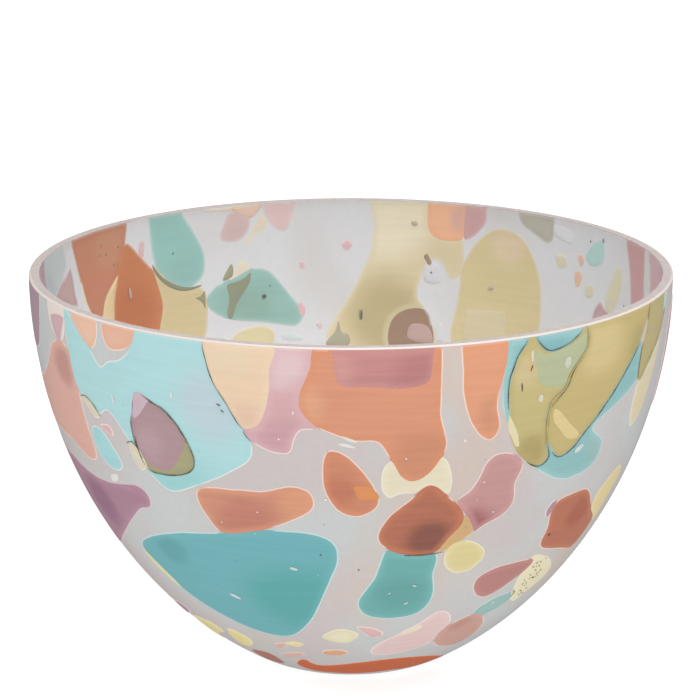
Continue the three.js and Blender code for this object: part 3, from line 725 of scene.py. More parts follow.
set_shard("orange_back_rim", "orange", (236, 180, 142), (236, 172, 128), (214, 170, 156, 157, 6, 7),
    inside_depth=0.0)
set_shard("orange_back_low", "orange", (208, 144, 118), (222, 152, 118))
set_shard("salmon_low", "salmon", (208, 162, 148), (216, 174, 160), (196, 146, 134, 30, 132, 8))

# ---------------------------------------------------------------------------------------------
# Plum and rose shards: manganese pinks and violets, softer in edge than the oranges. Where one
# lies over another shard the two colours add up to a darker one.
# ---------------------------------------------------------------------------------------------
set_shard("plum_strip_left", "plum", (178, 148, 160), (172, 138, 154))
set_shard("plum_wing", "plum", (176, 133, 150), (188, 148, 163), (156, 110, 134, -61, 82, 13), streaks=0.9,
    line=(236, 218, 222))
set_shard("plum_bar", "plum", (198, 139, 136), (206, 148, 142), (188, 128, 128, 12, 12, 12),
    (210, 152, 146, -3, 8, 9), layer=2, streaks=1.0, line=(214, 158, 150))
set_shard("plum_kidney", "plum", (178, 147, 150), (176, 144, 150), (184, 156, 160, -38, 44, 8), layer=2,
    line=(150, 130, 124), line_strength=0.2)
set_shard("pink_panel", "rose", (214, 170, 173), (220, 182, 186), (226, 196, 198, -12, 6, 12),
    (206, 160, 167, -11, 38, 13))
set_shard("rose_boot", "rose", (198, 150, 148), (210, 164, 162), (164, 98, 102, 22, 80, 14))
set_shard("red_comet", "rose", (188, 132, 126), (200, 146, 140), streaks=0.5)
set_shard("blush_low", "rose", (228, 200, 196), (234, 208, 204))
set_shard("rose_back_left", "rose", (202, 172, 168), (208, 180, 176), inside_depth=0.1)
set_shard("rose_back_rim", "rose", (216, 184, 182), (220, 190, 188), inside_depth=0.1)
set_shard("plum_back_rim", "rose", (200, 156, 154), (206, 162, 158), (186, 138, 142, 149, 9, 6),
    inside_depth=0.0)
set_shard("rose_strip_back", "rose", (200, 150, 150), (206, 158, 157))
set_shard("rose_strip_right", "rose", (208, 172, 174), (212, 178, 178))
set_shard("plum_back_low", "plum", (178, 142, 154), (190, 154, 164))

# ---------------------------------------------------------------------------------------------
# Cream, lemon and sand shards: pale opaque ivory and yellow glass, close to the casing in tone.
# ---------------------------------------------------------------------------------------------
set_shard("cream_rim_left", "cream", (232, 221, 212), (236, 224, 214))
set_shard("cream_panel", "cream", (235, 206, 174), (238, 212, 184), (228, 194, 168, -18, 34, 13),
    (232, 210, 180, -20, 5, 10))
set_shard("lemon_collar", "lemon", (228, 218, 190), (234, 226, 200), line=(240, 236, 218))
set_shard("yellow_pebble", "lemon", (222, 207, 150), (230, 218, 170), line=(244, 238, 214))
set_shard("yellow_fin_right", "lemon", (232, 213, 158), (236, 220, 172), line=(236, 226, 200))
set_shard("speckled_cream", "lemon", (236, 227, 190), (238, 230, 202), line=(236, 232, 214))
set_shard("sand_strip_right", "sand", (226, 212, 176), (230, 218, 186))
set_shard("yellow_back", "sand", (212, 196, 152), (216, 203, 164), (230, 218, 188, 172, 6, 24),
    (182, 164, 112, 172, 52, 20), inside_depth=0.05)
set_shard("honey_back", "ochre", (210, 193, 144), (210, 193, 144), (212, 196, 150, 151, 52, 11),
    (218, 196, 162, 147, 16, 9), inside_depth=0.0)

# ---------------------------------------------------------------------------------------------
# Ochre, olive and tan shards: silver-bearing glass. It reacts with its neighbours where they
# touch, which leaves a thin dark line along the joint.
# ---------------------------------------------------------------------------------------------
set_shard("ochre_right", "ochre", (200, 181, 123), (192, 174, 116), (212, 194, 140, 47, 8, 14),
    (182, 168, 112, 60, 16, 10), layer=1, line_strength=0.3)
set_shard("olive_right", "olive", (199, 184, 128), (190, 174, 116), (180, 162, 108, 33, 46, 9),
    (208, 190, 142, 30, 14, 7), layer=1, line_strength=0.3)
set_shard("tan_strip_right", "olive", (190, 176, 126), (184, 170, 120), line_strength=0.3)
set_shard("ochre_kidney", "ochre", (170, 165, 126), (164, 158, 120), layer=1, line_strength=0.15)
set_shard("ochre_link", "ochre", (208, 168, 116), (214, 180, 132), line=(240, 224, 196))
set_shard("ochre_back_left", "ochre", (204, 186, 140), (208, 190, 146), inside_depth=0.0)
set_shard("olive_back", "olive", (138, 143, 116), (134, 138, 110), layer=1, inner_layer=1, inside_depth=0.0,
    line_strength=0.1)
set_shard("olive_back_rim", "olive", (183, 179, 164), (170, 168, 146), inside_depth=0.0)

# ---------------------------------------------------------------------------------------------
# Russet, copper and umber shards: iron reds, the darkest glass in the bowl, nearly brown in the
# middle and orange at the edge.
# ---------------------------------------------------------------------------------------------
set_shard("russet_shard", "russet", (182, 114, 90), (210, 132, 96), (142, 90, 78, 15, 80, 10),
    (206, 128, 96, 2, 80, 7), streaks=1.0)
set_shard("copper_shard", "russet", (188, 118, 92), (206, 134, 104), (178, 104, 82, 53, 82, 8), streaks=1.0)
set_shard("russet_back", "russet", (193, 123, 90), (188, 116, 80), (194, 134, 100, -126, 8, 12),
    inside_depth=0.0)
set_shard("umber_back", "russet", (152, 120, 96), (148, 116, 92), inside_depth=0.0)

# ---------------------------------------------------------------------------------------------
# Small chips and slivers: crumbs of the same coloured glasses, and the places where a chip folded
# over itself or over its neighbour and shows a second colour. All are a few millimetres across.
# ---------------------------------------------------------------------------------------------
CHIP_SPACING = 0.5 * MM
CHIP_MESH = 1.3 * MM
CHIP_LAYER = 3


def smooth_corners(corners, closed=True, steps=12):
    """A curve through (degrees round, mm down) corners, as radians and metres."""
    points = np.array(corners, dtype=float) * (math.pi / 180, MM)
    if closed:
        sets = [np.roll(points, shift, axis=0) for shift in (1, 0, -1, -2)]
    else:
        wide = np.vstack([2 * points[0] - points[1], points, 2 * points[-1] - points[-2]])
        sets = [wide[i:len(wide) - 3 + i] for i in range(4)]
    t = np.linspace(0, 1, steps, endpoint=False)[:, None, None]
    a, b, c, d = sets
    curve = 0.5 * (2 * b + (c - a) * t + (2 * a - 5 * b + 4 * c - d) * t**2 + (3 * b - a - 3 * c + d) * t**3)
    curve = curve.transpose(1, 0, 2).reshape(-1, 2)
    return curve if closed else np.vstack([curve, points[-1:]])


def joined(name, pieces):
    """Several pieces of one glass as one mesh."""
    with bpy.context.temp_override(active_object=pieces[0], selected_editable_objects=pieces):
        if len(pieces) > 1:
            bpy.ops.object.join()
    pieces[0].name = pieces[0].data.name = name
    return pieces[0]


def set_chips(name, node, slot, glass, band, *chips, inner_layer=1, **finish):
    """One or more chips of a colour, each a list of (degrees round, mm down) corners."""
    pieces = []
    for corners in chips:
        curve = smooth_corners(corners)
        home, radius = curve[:, 0].mean(), float(wall_at(curve[:, 1].mean(), 0)[0])
        flat = np.stack([(curve[:, 0] - home) * radius, np.maximum(curve[:, 1], RIM_LINE)], axis=-1)
        pieces.append(fused_piece(name, home, radius, [even_loop(flat, CHIP_SPACING)], cell=CHIP_MESH,
                                  proud=SHARD_PROUD + LAYER_STEP * CHIP_LAYER,
                                  inner_proud=(0.1 + 0.1 * inner_layer) * MM))
    piece = joined(name, pieces)
    piece.data.materials.append(shard_glass(name.replace("_", " "), glass, band, [], **finish))
    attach(piece, "root")
    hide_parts(node)


set_chips("rose_drop_left", "outer_casing", "rose", (212, 178, 182), (206, 168, 174), [(-64, 6), (-61, 3.5),
    (-58.5, 4), (-59, 9), (-60.5, 14), (-62.5, 12)])
set_chips("cream_slivers_left", "outer_casing", "cream", (226, 214, 196), (214, 208, 172), [(-55, 33),
    (-53, 33), (-51, 35.5), (-50, 39), (-51.5, 40), (-53, 37.5)], [(-43, 46.5), (-41.5, 46), (-40, 50),
    (-39.5, 54.5), (-41.5, 57), (-43, 51)])
set_chips("yellow_sliver_low", "outer_casing", "lemon", (232, 222, 178), (226, 214, 160), [(-53, 101),
    (-51.5, 102), (-47.5, 112), (-46, 118), (-48, 117), (-52, 108)])
set_chips("white_chips", "outer_casing", "casing", (226, 224, 212), (226, 226, 222), [(-51.6, 64.4),
    (-49.4, 63.2), (-50, 66.2), (-52, 67.4)], [(-1.8, 32.8), (0.4, 34.4), (0.9, 36), (-0.9, 34.8)],
    [(-2.2, 36.6), (-0.8, 36.4), (0.8, 38), (-0.6, 37.8)], line_strength=0.2)
set_chips("kidney_cap", "plum_kidney", "plum", (203, 180, 190), (205, 184, 194), [(-39.9, 24.9), (-38.4, 24),
    (-36.4, 26.8), (-38.5, 33.3), (-40.3, 35.9), (-40.9, 34.2), (-40.4, 29.6)], line_strength=0)
set_chips("green_window", "olive_right", "olive", (182, 188, 152), (186, 190, 152), [(31.6, 3.4), (33.3, 6.8),
    (34.6, 7.5), (39.5, 6), (42.9, 2.8), (43.3, 6), (42.8, 10), (40, 17), (39, 21.5), (35.9, 21.8),
    (32.9, 18.7), (31.9, 11.1)], line_strength=0)
set_chips("ochre_fold", "ochre_right", "ochre", (224, 204, 146), (222, 202, 146), [(36.8, 29.6), (38.4, 31),
    (41, 36.4), (44.2, 42.6), (43.5, 45), (41, 44), (38.6, 39.2), (36.8, 34.5)], line_strength=0)
set_chips("cream_fold", "olive_right", "lemon", (226, 214, 170), (228, 218, 180), [(27.5, 29), (28.2, 30.6),
    (29.8, 36.6), (30.5, 42.2), (29.6, 42.8), (28.4, 38.4), (27.6, 33.8)], line_strength=0.2)
set_chips("amber_square", "orange_oval", "orange", (224, 152, 96), (216, 140, 86), [(0.5, 54), (3.5, 54.5),
    (5, 59.5), (2, 60), (1, 58.5)], line_strength=0)
set_chips("teal_edge_right", "outer_casing", "teal", (176, 208, 206), (176, 208, 206), [(71.3, 2.6),
    (72.9, 1.7), (72.6, 7.6), (71, 9.6)])
set_chips("rose_edge_right", "outer_casing", "rose", (206, 160, 172), (206, 160, 172), [(78, 14), (86, 8),
    (96, 16), (94, 40), (84, 52), (77, 46), (77.4, 30)])
set_chips("lemon_low", "outer_casing", "lemon", (234, 228, 198), (226, 214, 160), [(-8, 137), (-3, 131),
    (2, 135), (-1, 142.5), (-6, 141)], line=(240, 236, 220))
set_chips("pink_lows", "outer_casing", "rose", (224, 186, 184), (218, 178, 178), [(1.5, 129.5), (6, 130.5),
    (9, 135.5), (5.5, 137.5)], [(-50.4, 42.4), (-47.6, 41.4), (-46.9, 45.4), (-49, 44.6)])
set_chips("cream_low", "outer_casing", "cream", (236, 220, 196), (236, 222, 200), [(14.5, 133.5), (18.5, 130.5),
    (19.5, 133.5), (16.5, 137), (14, 137)])
set_chips("orange_low", "outer_casing", "orange", (226, 176, 140), (220, 158, 118), [(-9, 150.5), (-4, 148.6),
    (-1, 151), (-4, 154.5), (-9, 154)])
set_chips("plum_slivers", "copper_shard", "plum", (190, 150, 166), (180, 140, 156), [(40.8, 75), (42, 71.2),
    (43.2, 72), (42.6, 77), (41.4, 78.6)], [(-64, 138), (-58, 135.4), (-55.6, 137), (-57, 141.5), (-65, 147)])
set_chips("yellow_base_chips", "outer_casing", "lemon", (236, 220, 150), (238, 226, 176), [(-58.6, 144.6),
    (-52, 142.4), (-46.8, 143.4), (-45.4, 149), (-52, 154), (-58.4, 163), (-61.5, 157)], [(-40.5, 143.4),
    (-37, 143.8), (-34, 149), (-36.8, 156), (-42.6, 159), (-43.8, 152)], [(-20.6, 146.4), (-17.8, 143.8),
    (-14.6, 145.2), (-17.2, 148.6)], line_strength=0.4)
set_chips("umber_base_chip", "outer_casing", "russet", (178, 120, 100), (168, 108, 92), [(-42, 163.6),
    (-36, 160.6), (-32, 161), (-30, 166), (-31.6, 174), (-42.4, 175.4)], line_strength=0.4)
set_chips("rose_base_chips", "outer_casing", "rose", (226, 184, 172), (222, 178, 168), [(-24.8, 148.4),
    (-21.2, 145.6), (-20.4, 148.4), (-24.2, 152.4)], [(-26, 159), (-20.6, 154.8), (-16.8, 153.8),
    (-16.4, 156.4), (-22.6, 161.4)], line_strength=0.5)

set_chips("olive_tick_back", "ochre_back_left", "olive", (140, 138, 100), (134, 132, 96), [(-146.2, 38.5),
    (-147.6, 37.6), (-148.7, 36), (-148.8, 40), (-148.4, 44.5), (-147.7, 40.9)], [(177.4, 48.5), (178.5, 48.5),
    (178.4, 52.8), (177.6, 52.5)], line_strength=0, inner_layer=2)
set_chips("olive_crescent_back", "teal_back_left", "olive", (124, 124, 94), (120, 120, 90), [(-136.9, 21.1),
    (-139, 26.7), (-142, 31.2), (-145, 33.4), (-148.3, 33.3), (-146, 35), (-142.9, 34.6), (-139.7, 31.2),
    (-137.5, 26)], line_strength=0, inner_layer=2)
set_chips("olive_back_chip", "teal_back", "olive", (150, 146, 110), (144, 142, 106), [(-153, 32.5), (-155, 26),
    (-155.5, 28.5), (-155, 31.5)], line_strength=0, inner_layer=2)
set_chips("cream_lines_back", "outer_casing", "cream", (222, 210, 184), (222, 210, 184), [(-114, 7),
    (-115.1, 15.6), (-115.4, 24.9), (-117.1, 33.8), (-118, 35), (-116.6, 26), (-115.9, 15)], [(-159.5, 13.3),
    (-161.6, 5.5), (-163, 8.1), (-162.7, 11.9), (-160.6, 14.4), (-158.7, 18.8), (-158.4, 16)], [(-156.9, 24.5),
    (-159.2, 28.4), (-156.5, 31.6), (-153.6, 34), (-155.6, 30.4)], inner_layer=0, line_strength=0.6)
set_chips("tan_back_rim", "outer_casing", "peach", (224, 190, 168), (220, 186, 162), [(-155.5, 1.5),
    (-158.5, 1), (-162, 1), (-160, 6.5), (-157.5, 5.5)], inner_layer=2)
set_chips("lemon_back_rim", "outer_casing", "lemon", (226, 216, 188), (226, 216, 188), [(-149.5, 1), (-154, 1),
    (-158, 1), (-157, 2.4), (-152, 2.8)])
set_chips("teal_chips_back", "outer_casing", "teal", (170, 206, 200), (172, 206, 202), [(127.5, 14),
    (125.5, 7.5), (122.5, 5.5), (122, 14), (125.5, 17.5)])
set_chips("mist_chip_back", "outer_casing", "mist", (196, 208, 206), (198, 210, 208), [(-165, 58.1),
    (-167.4, 57.4), (-169.7, 60), (-168.7, 61.3), (-165.4, 60.5)])
set_chips("white_chip_back", "outer_casing", "casing", (216, 216, 218), (216, 216, 218), [(136.2, 3.6),
    (131.9, 4.9), (131.7, 10.6), (135.8, 8.4)])
set_chips("yellow_low_back", "outer_casing", "ochre", (212, 198, 150), (208, 194, 146), [(-153, 59.5),
    (-155.5, 55), (-160.5, 53.5), (-163.5, 57), (-162, 64.5), (-156, 64.5)])
set_chips("olive_low_back", "yellow_back", "olive", (160, 154, 128), (156, 150, 122), [(-174.5, 63),
    (-176.5, 57.5), (-177.3, 52.5), (-178, 57.5), (-179.5, 59), (-179.8, 63), (-177.5, 66)], line_strength=0,
    inner_layer=3)
set_chips("mauve_backs", "outer_casing", "plum", (186, 150, 150), (180, 142, 144), [(123.2, 36), (121.6, 30.7),
    (119.4, 33), (115.5, 34), (118, 38), (122.5, 41.5)], [(-109.2, 15), (-111.7, 11.9), (-112.5, 15.9),
    (-112.8, 22.5), (-112.6, 28.5), (-104.5, 21.1)])
set_chips("yellow_strip_back", "outer_casing", "sand", (210, 202, 170), (212, 204, 176), [(120, 30),
    (119, 20.5), (117, 13.5), (115, 17.5), (115.5, 28.5), (118, 35.5)], [(135.7, 17), (134, 15.4), (132.5, 17),
    (132.4, 20.4), (134.5, 21.8)], [(126.8, 26.4), (125, 24.6), (123.8, 27), (124.4, 30.4), (126.3, 30.6)])
set_chips("pink_dots_back", "outer_casing", "rose", (220, 178, 178), (214, 168, 170), [(-178, 20),
    (-179.3, 17.6), (-180.4, 20), (-179.2, 22.8)], [(-169.4, 27), (-170.6, 27), (-170.6, 30), (-169.5, 30)],
    [(-168.9, 45), (-170.2, 46), (-170.2, 50), (-169, 50.4)], [(-172.9, 54), (-173.9, 54), (-173.8, 56.4),
    (-173, 56.5)], [(-133.7, 11), (-134.8, 9.9), (-135.3, 11.6), (-134.8, 17), (-133.8, 16)])
set_chips("orange_dots_back", "outer_casing", "orange", (222, 182, 150), (218, 170, 134), [(130.2, 22.5),
    (129, 20.4), (127.8, 23), (128.4, 27.4), (129.6, 27.4)], [(129.7, 15), (128.4, 13.4), (127.7, 16.4),
    (128.6, 19)])
set_chips("amber_split_back", "orange_back", "ochre", (216, 188, 140), (214, 184, 134), [(-127.4, 22.2),
    (-125.7, 31.1), (-124.2, 41), (-121, 39.5), (-121.6, 35), (-123.2, 29.9)], line_strength=0, inner_layer=3)
set_chips("honey_patch_back", "honey_back", "cream", (206, 192, 156), (206, 190, 152), [(154.6, 45.4),
    (147.2, 44.3), (146, 46), (145, 56), (146, 60), (155, 60), (155.6, 48)], inner_layer=2, line_strength=0,
    inside_depth=0)
set_chips("umber_mauve_back", "umber_back", "plum", (184, 154, 144), (178, 148, 138), [(167.2, 53.8),
    (163.4, 54.2), (162.2, 61.7), (167.6, 60.4)], inner_layer=2, line_strength=0, inside_depth=0)
set_chips("white_windows_back", "yellow_back", "casing", (206, 204, 206), (206, 204, 206), [(165, 28.6),
    (162.2, 27.6), (161.4, 35), (164.6, 35.4)], [(161.4, 54), (160.2, 53), (159.7, 60), (161.7, 60)],
    inner_layer=2, line_strength=0)
set_chips("gold_chip_back", "yellow_back", "russet", (150, 126, 88), (142, 116, 80), [(165.2, 24.6),
    (164.4, 22.8), (163.5, 26.4), (163.8, 28.4)], inner_layer=3, line_strength=0)

# ---------------------------------------------------------------------------------------------
# Reaction seams: where silver-bearing glass touches another colour the joint has gone grey-green,
# and it lies on the face as a fine dark thread that thins out at its ends.
# ---------------------------------------------------------------------------------------------
SEAM_HALF_WIDTH = 0.2 * MM
SEAM_HALF_DEPTH = 0.07 * MM
SEAM_OUT = -0.31 * MM
SEAM_SIDES = 6
SEAM_REACH = 0.9 * MM
SHORTEST_RUN = 6  # outline points


def meeting_runs(upper, *lowers, skip=()):
    """Stretches of a shard's outline that lie on or beside other shards, as (radians round, metres down)."""
    home, radius, loops = outlines[upper]
    runs = []
    for loop in loops:
        meets = np.zeros(len(loop), bool)
        for lower in lowers:
            lower_home, lower_radius, lower_loops = outlines[lower]
            off = (home + loop[:, 0] / radius - lower_home + np.pi) % (2 * np.pi) - np.pi
            flat = np.stack([off * lower_radius, loop[:, 1]], axis=-1)
            meets |= within(flat, lower_loops) | (nearest(flat, np.concatenate(lower_loops)) < SEAM_REACH)
        meets &= loop[:, 1] > RIM_LINE + 0.1 * MM
        for around, down, reach in skip:
            off = (np.radians(around) - home + np.pi) % (2 * np.pi) - np.pi
            meets &= np.hypot(loop[:, 0] - off * radius, loop[:, 1] - down * MM) > reach * MM
        if meets.all() or not meets.any():
            if meets.all():
                runs.append(np.vstack([loop, loop[:1]]))
            continue
        first = int(np.argmin(meets))
        order = np.roll(np.arange(len(loop)), -first)
        start = None
        for k, i in enumerate(list(order) + [order[0]]):
            on = meets[i] and k < len(order)
            if on and start is None:
                start = k
            if not on and start is not None:
                if k - start > SHORTEST_RUN:
                    runs.append(loop[order[start:k]])
                start = None
    return [np.stack([home + run[:, 0] / radius, run[:, 1]], axis=-1) for run in runs]


def thread(name, node, runs, half_width=SEAM_HALF_WIDTH, finish=None):
    """Flat threads of glass along runs of (radians round, metres down)."""
    points, faces = [], []
    for run in runs:
        places = on_wall(run[:, 0], run[:, 1], SEAM_OUT)
        out = on_wall(run[:, 0], run[:, 1], SEAM_OUT - 1 * MM) - places
        out /= np.linalg.norm(out, axis=1, keepdims=True)
        along = np.gradient(places, axis=0)
        along /= np.maximum(np.linalg.norm(along, axis=1, keepdims=True), 1e-12)
        across = np.cross(out, along)
        share = np.linspace(0, 1, len(run))
        taper = 0.25 + 0.75 * np.clip(np.minimum(share, 1 - share) * len(run) / 5, 0, 1)
        taper *= 1 + 0.22 * np.sin(share * len(run) * 0.53)
        first = len(points)
        for turn in np.arange(SEAM_SIDES) * 2 * np.pi / SEAM_SIDES:
            ring = places + across * (math.cos(turn) * half_width * taper)[:, None]
            ring += out * math.sin(turn) * SEAM_HALF_DEPTH
            points.extend(map(tuple, ring.tolist()))
        count = len(run)
        for s in range(SEAM_SIDES):
            a, b = first + s * count, first + ((s + 1) % SEAM_SIDES) * count
            faces += [(a + i, a + i + 1, b + i + 1, b + i) for i in range(count - 1)]
        faces.append([first + s * count for s in range(SEAM_SIDES)])
        faces.append([first + s * count + count - 1 for s in reversed(range(SEAM_SIDES))])
    mesh = bpy.data.meshes.new(name)
    mesh.from_pydata(points, [], faces)
    mesh.validate()
    tidy = bmesh.new()
    tidy.from_mesh(mesh)
    bmesh.ops.recalc_face_normals(tidy, faces=tidy.faces)
    tidy.to_mesh(mesh)
    tidy.free()
    mesh.shade_smooth()
    piece = set_out(name, mesh)
    mesh.materials.append(finish or SEAM_GLASS)
    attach(piece, "root")
    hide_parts(node)


def seam_glass(name, low, high):
    material, tree, shader = new_glass(name, 0.35)
    drift = spread(tree, (-500, 200), cloud(tree, (-750, 200), 160, 2), 0.35, 0.65)
    join(tree, [(blend(tree, (-250, 200), drift, srgb(*low), srgb(*high)), shader.inputs["Base Color"])])
    return material


SEAM_GLASS = seam_glass("grey green seam", (74, 80, 68), (122, 122, 98))
MELTED_SEAM = seam_glass("olive seam", (168, 152, 98), (186, 168, 110))
KIDNEY_FREE = [(-41, 28, 6.5)]
thread("kidney_seam", "ochre_kidney", meeting_runs("plum_kidney", "sky_panel", skip=KIDNEY_FREE)
       + meeting_runs("ochre_kidney", "sky_panel", skip=KIDNEY_FREE))
thread("olive_right_seam", "olive_right", meeting_runs("olive_right", "teal_under", skip=[(28.5, 36, 9),
    (39, 28, 13), (44, 6, 6)]))
thread("ochre_right_seam", "ochre_right", meeting_runs("ochre_right", "teal_under", skip=[(36, 32, 16),
    (40, 10, 12)]))
thread("olive_melted_seam", "olive_right", meeting_runs("olive_right", "ochre_right"), half_width=0.5 * MM,
    finish=MELTED_SEAM)
thread("olive_fold_seam", "olive_right", [smooth_corners([(43.6, 3), (43.6, 8), (42.6, 11), (40.4, 17),
    (39.4, 22), (36.2, 29)], closed=False)], half_width=0.11 * MM)
thread("tan_seam", "tan_strip_right",
    meeting_runs("tan_strip_right", "ochre_right", "teal_under", "sand_strip_right"), half_width=0.18 * MM)
thread("sky_cream_seam", "cream_panel",
    meeting_runs("cream_panel", "sky_panel") + meeting_runs("pink_panel", "sky_panel"), half_width=0.14 * MM)
thread("russet_seam", "russet_shard", [smooth_corners([(10.5, 86.8), (13, 87.2), (16, 87.2),
    (18.6, 86.6)], closed=False)])
thread("sliver_seams", "sky_panel", [smooth_corners([(-55.2, 33), (-53.4, 32.2), (-51.4, 34.4),
    (-49.6, 38.6)], closed=False), smooth_corners([(-43.6, 46.6), (-42.2, 45.4), (-41, 47.4)], closed=False),
    smooth_corners([(43.2, 118.6), (44.6, 120), (44.6, 123)], closed=False)], half_width=0.16 * MM)

# ---------------------------------------------------------------------------------------------
# Bubbles: air caught between the gathers, flattened and drawn out as the bowl was blown. The
# larger ones read as small pale lenses; they are partly such bubbles and partly painted highlights,
# glints set on the face as pale marks. A few bubbles caught ash and read as dark flecks.
# ---------------------------------------------------------------------------------------------
BUBBLE_SEGMENTS, BUBBLE_RINGS = 10, 5
BUBBLE_THICKNESS = 0.3  # mm
SKIN_COLUMNS = 96


def bubble_tree(name, scattered):
    """Sets a flattened lens on each point of a mesh, or on points scattered over its faces: bubbles, flecks and
    painted glints.
    """
    group = bpy.data.node_groups.new(name, "GeometryNodeTree")
    group_socket(group, "Geometry", "INPUT", "Geometry")
    ids = {"Glass": group_socket(group, "Glass", "INPUT", "Material")}
    group_socket(group, "Geometry", "OUTPUT", "Geometry")
    start, end = group.nodes.new("NodeGroupInput"), group.nodes.new("NodeGroupOutput")
    bubble = group.nodes.new("GeometryNodeMeshUVSphere")
    bubble.inputs["Segments"].default_value = BUBBLE_SEGMENTS
    bubble.inputs["Rings"].default_value = BUBBLE_RINGS
    bubble.inputs["Radius"].default_value = 0.5
    place = group.nodes.new("GeometryNodeInstanceOnPoints")
    join(group, [(bubble.outputs["Mesh"], place.inputs["Instance"])])
    if scattered:
        for label, kind, value in (("Density", "Float", 1000.0), ("Smallest", "Float", 0.0003),
                                   ("Largest", "Float", 0.0007), ("Seed", "Int", 1)):
            ids[label] = group_socket(group, label, "INPUT", kind, value)
        scatter = group.nodes.new("GeometryNodeDistributePointsOnFaces")
        size = group.nodes.new("FunctionNodeRandomValue")
        flat = group.nodes.new("ShaderNodeVectorMath")
        flat.operation = "MULTIPLY"
        flat.inputs[1].default_value = (1.0, 1.6, 0.35)
        given = start.outputs
        join(group, [(given["Geometry"], scatter.inputs["Mesh"]), (given["Density"], scatter.inputs["Density"]),
                     (given["Seed"], scatter.inputs["Seed"]), (given["Smallest"], size.inputs[2]),
                     (given["Largest"], size.inputs[3]), (given["Seed"], size.inputs["Seed"]),
                     (size.outputs[1], flat.inputs[0]), (scatter.outputs["Points"], place.inputs["Points"]),
                     (scatter.outputs["Rotation"], place.inputs["Rotation"]),
                     (flat.outputs[0], place.inputs["Scale"])])
    else:
        for label, used_as in (("turn", "Rotation"), ("size", "Scale")):
            stored = group.nodes.new("GeometryNodeInputNamedAttribute")
            stored.data_type = "FLOAT_VECTOR"
            stored.inputs["Name"].default_value = label
            join(group, [(stored.outputs[0], place.inputs[used_as])])
        join(group, [(start.outputs["Geometry"], place.inputs["Points"])])
    real, finish = [group.nodes.new("GeometryNode" + kind) for kind in ("RealizeInstances", "SetMaterial")]
    join(group, [(place.outputs["Instances"], real.inputs["Geometry"]),
                 (real.outputs["Geometry"], finish.inputs["Geometry"]),
                 (start.outputs["Glass"], finish.inputs["Material"]),
                 (finish.outputs["Geometry"], end.inputs["Geometry"])])
    return group, ids


def made_by_nodes(name, base_mesh, tree, values):
    """Runs a geometry tree on a mesh and keeps the result as a plain mesh."""
    group, ids = tree
    maker = set_out(name + "_maker", base_mesh)
    modifier = maker.modifiers.new(name, "NODES")
    modifier.node_group = group
    for label, value in values.items():
        modifier[ids[label]] = value
    bpy.context.view_layer.update()
    made = bpy.data.meshes.new_from_object(maker.evaluated_get(bpy.context.evaluated_depsgraph_get()))
    bpy.data.objects.remove(maker)
    made.name = name
    made.shade_smooth()
    return set_out(name, made)


def bubble_glass(name, low, high, veil):
    material, tree, shader = new_glass(name, 0.3)
    shader.inputs["Alpha"].default_value = veil
    drift = cloud(tree, (-500, 200), 700, 1)
    join(tree, [(blend(tree, (-250, 200), drift, srgb(*low), srgb(*high)), shader.inputs["Base Color"])])
    return material


def point_mesh(name, rows, depth):
    """Points for bubbles, flecks and painted glints given as (degrees round, mm down, mm wide, mm long, lean in
    degrees).
    """
    rows = np.array(rows, dtype=float)
    around, down = np.radians(rows[:, 0]), rows[:, 1] * MM
    places = on_wall(around, down, depth)
    out = on_wall(around, down, depth - 1 * MM) - places
    side = np.stack([np.cos(around), np.sin(around), np.zeros(len(rows))], axis=-1)
    turns = []
    for normal, level, lean in zip(out, side, rows[:, 4]):
        z = Vector(normal).normalized()
        x = Vector(level).normalized()
        y = z.cross(x)
        basis = Matrix((x, y, z)).transposed() @ Matrix.Rotation(math.radians(lean), 3, "Z")
        turns.append(tuple(basis.to_euler()))
    mesh = bpy.data.meshes.new(name)
    mesh.from_pydata(places.tolist(), [], [])
    sizes = np.stack([rows[:, 2], rows[:, 3], np.full(len(rows), BUBBLE_THICKNESS)], axis=-1) * MM
    for label, values in (("turn", turns), ("size", sizes)):
        layer = mesh.attributes.new(label, "FLOAT_VECTOR", "POINT")
        layer.data.foreach_set("vector", np.asarray(values, dtype=np.float32).ravel())
    return mesh


def skin(name, depth):
    """The wall's face at one depth, for scattering on."""
    rows = wall_line(2 * MM, WALL_LENGTH - 4 * MM, depth, 4 * MM)
    n = SKIN_COLUMNS
    angles = np.arange(n) * 2 * np.pi / n
    points = [(r * math.sin(a), -r * math.cos(a), z) for r, z in rows for a in angles]
    faces = [(i * n + j, (i + 1) * n + j, (i + 1) * n + (j + 1) % n, i * n + (j + 1) % n)
             for i in range(len(rows) - 1) for j in range(n)]
    mesh = bpy.data.meshes.new(name)
    mesh.from_pydata(points, [], faces)
    return mesh


PALE_BUBBLE_AND_GLINT = bubble_glass("pale bubble and glint", (236, 232, 228), (250, 248, 244), 0.42)
INNER_BUBBLE = bubble_glass("inner bubble", (214, 198, 176), (226, 212, 194), 0.5)
DARK_FLECK = bubble_glass("dark fleck", (84, 80, 70), (126, 112, 92), 0.75)
placed, scattered = bubble_tree("placed bubbles", False), bubble_tree("scattered bubbles", True)
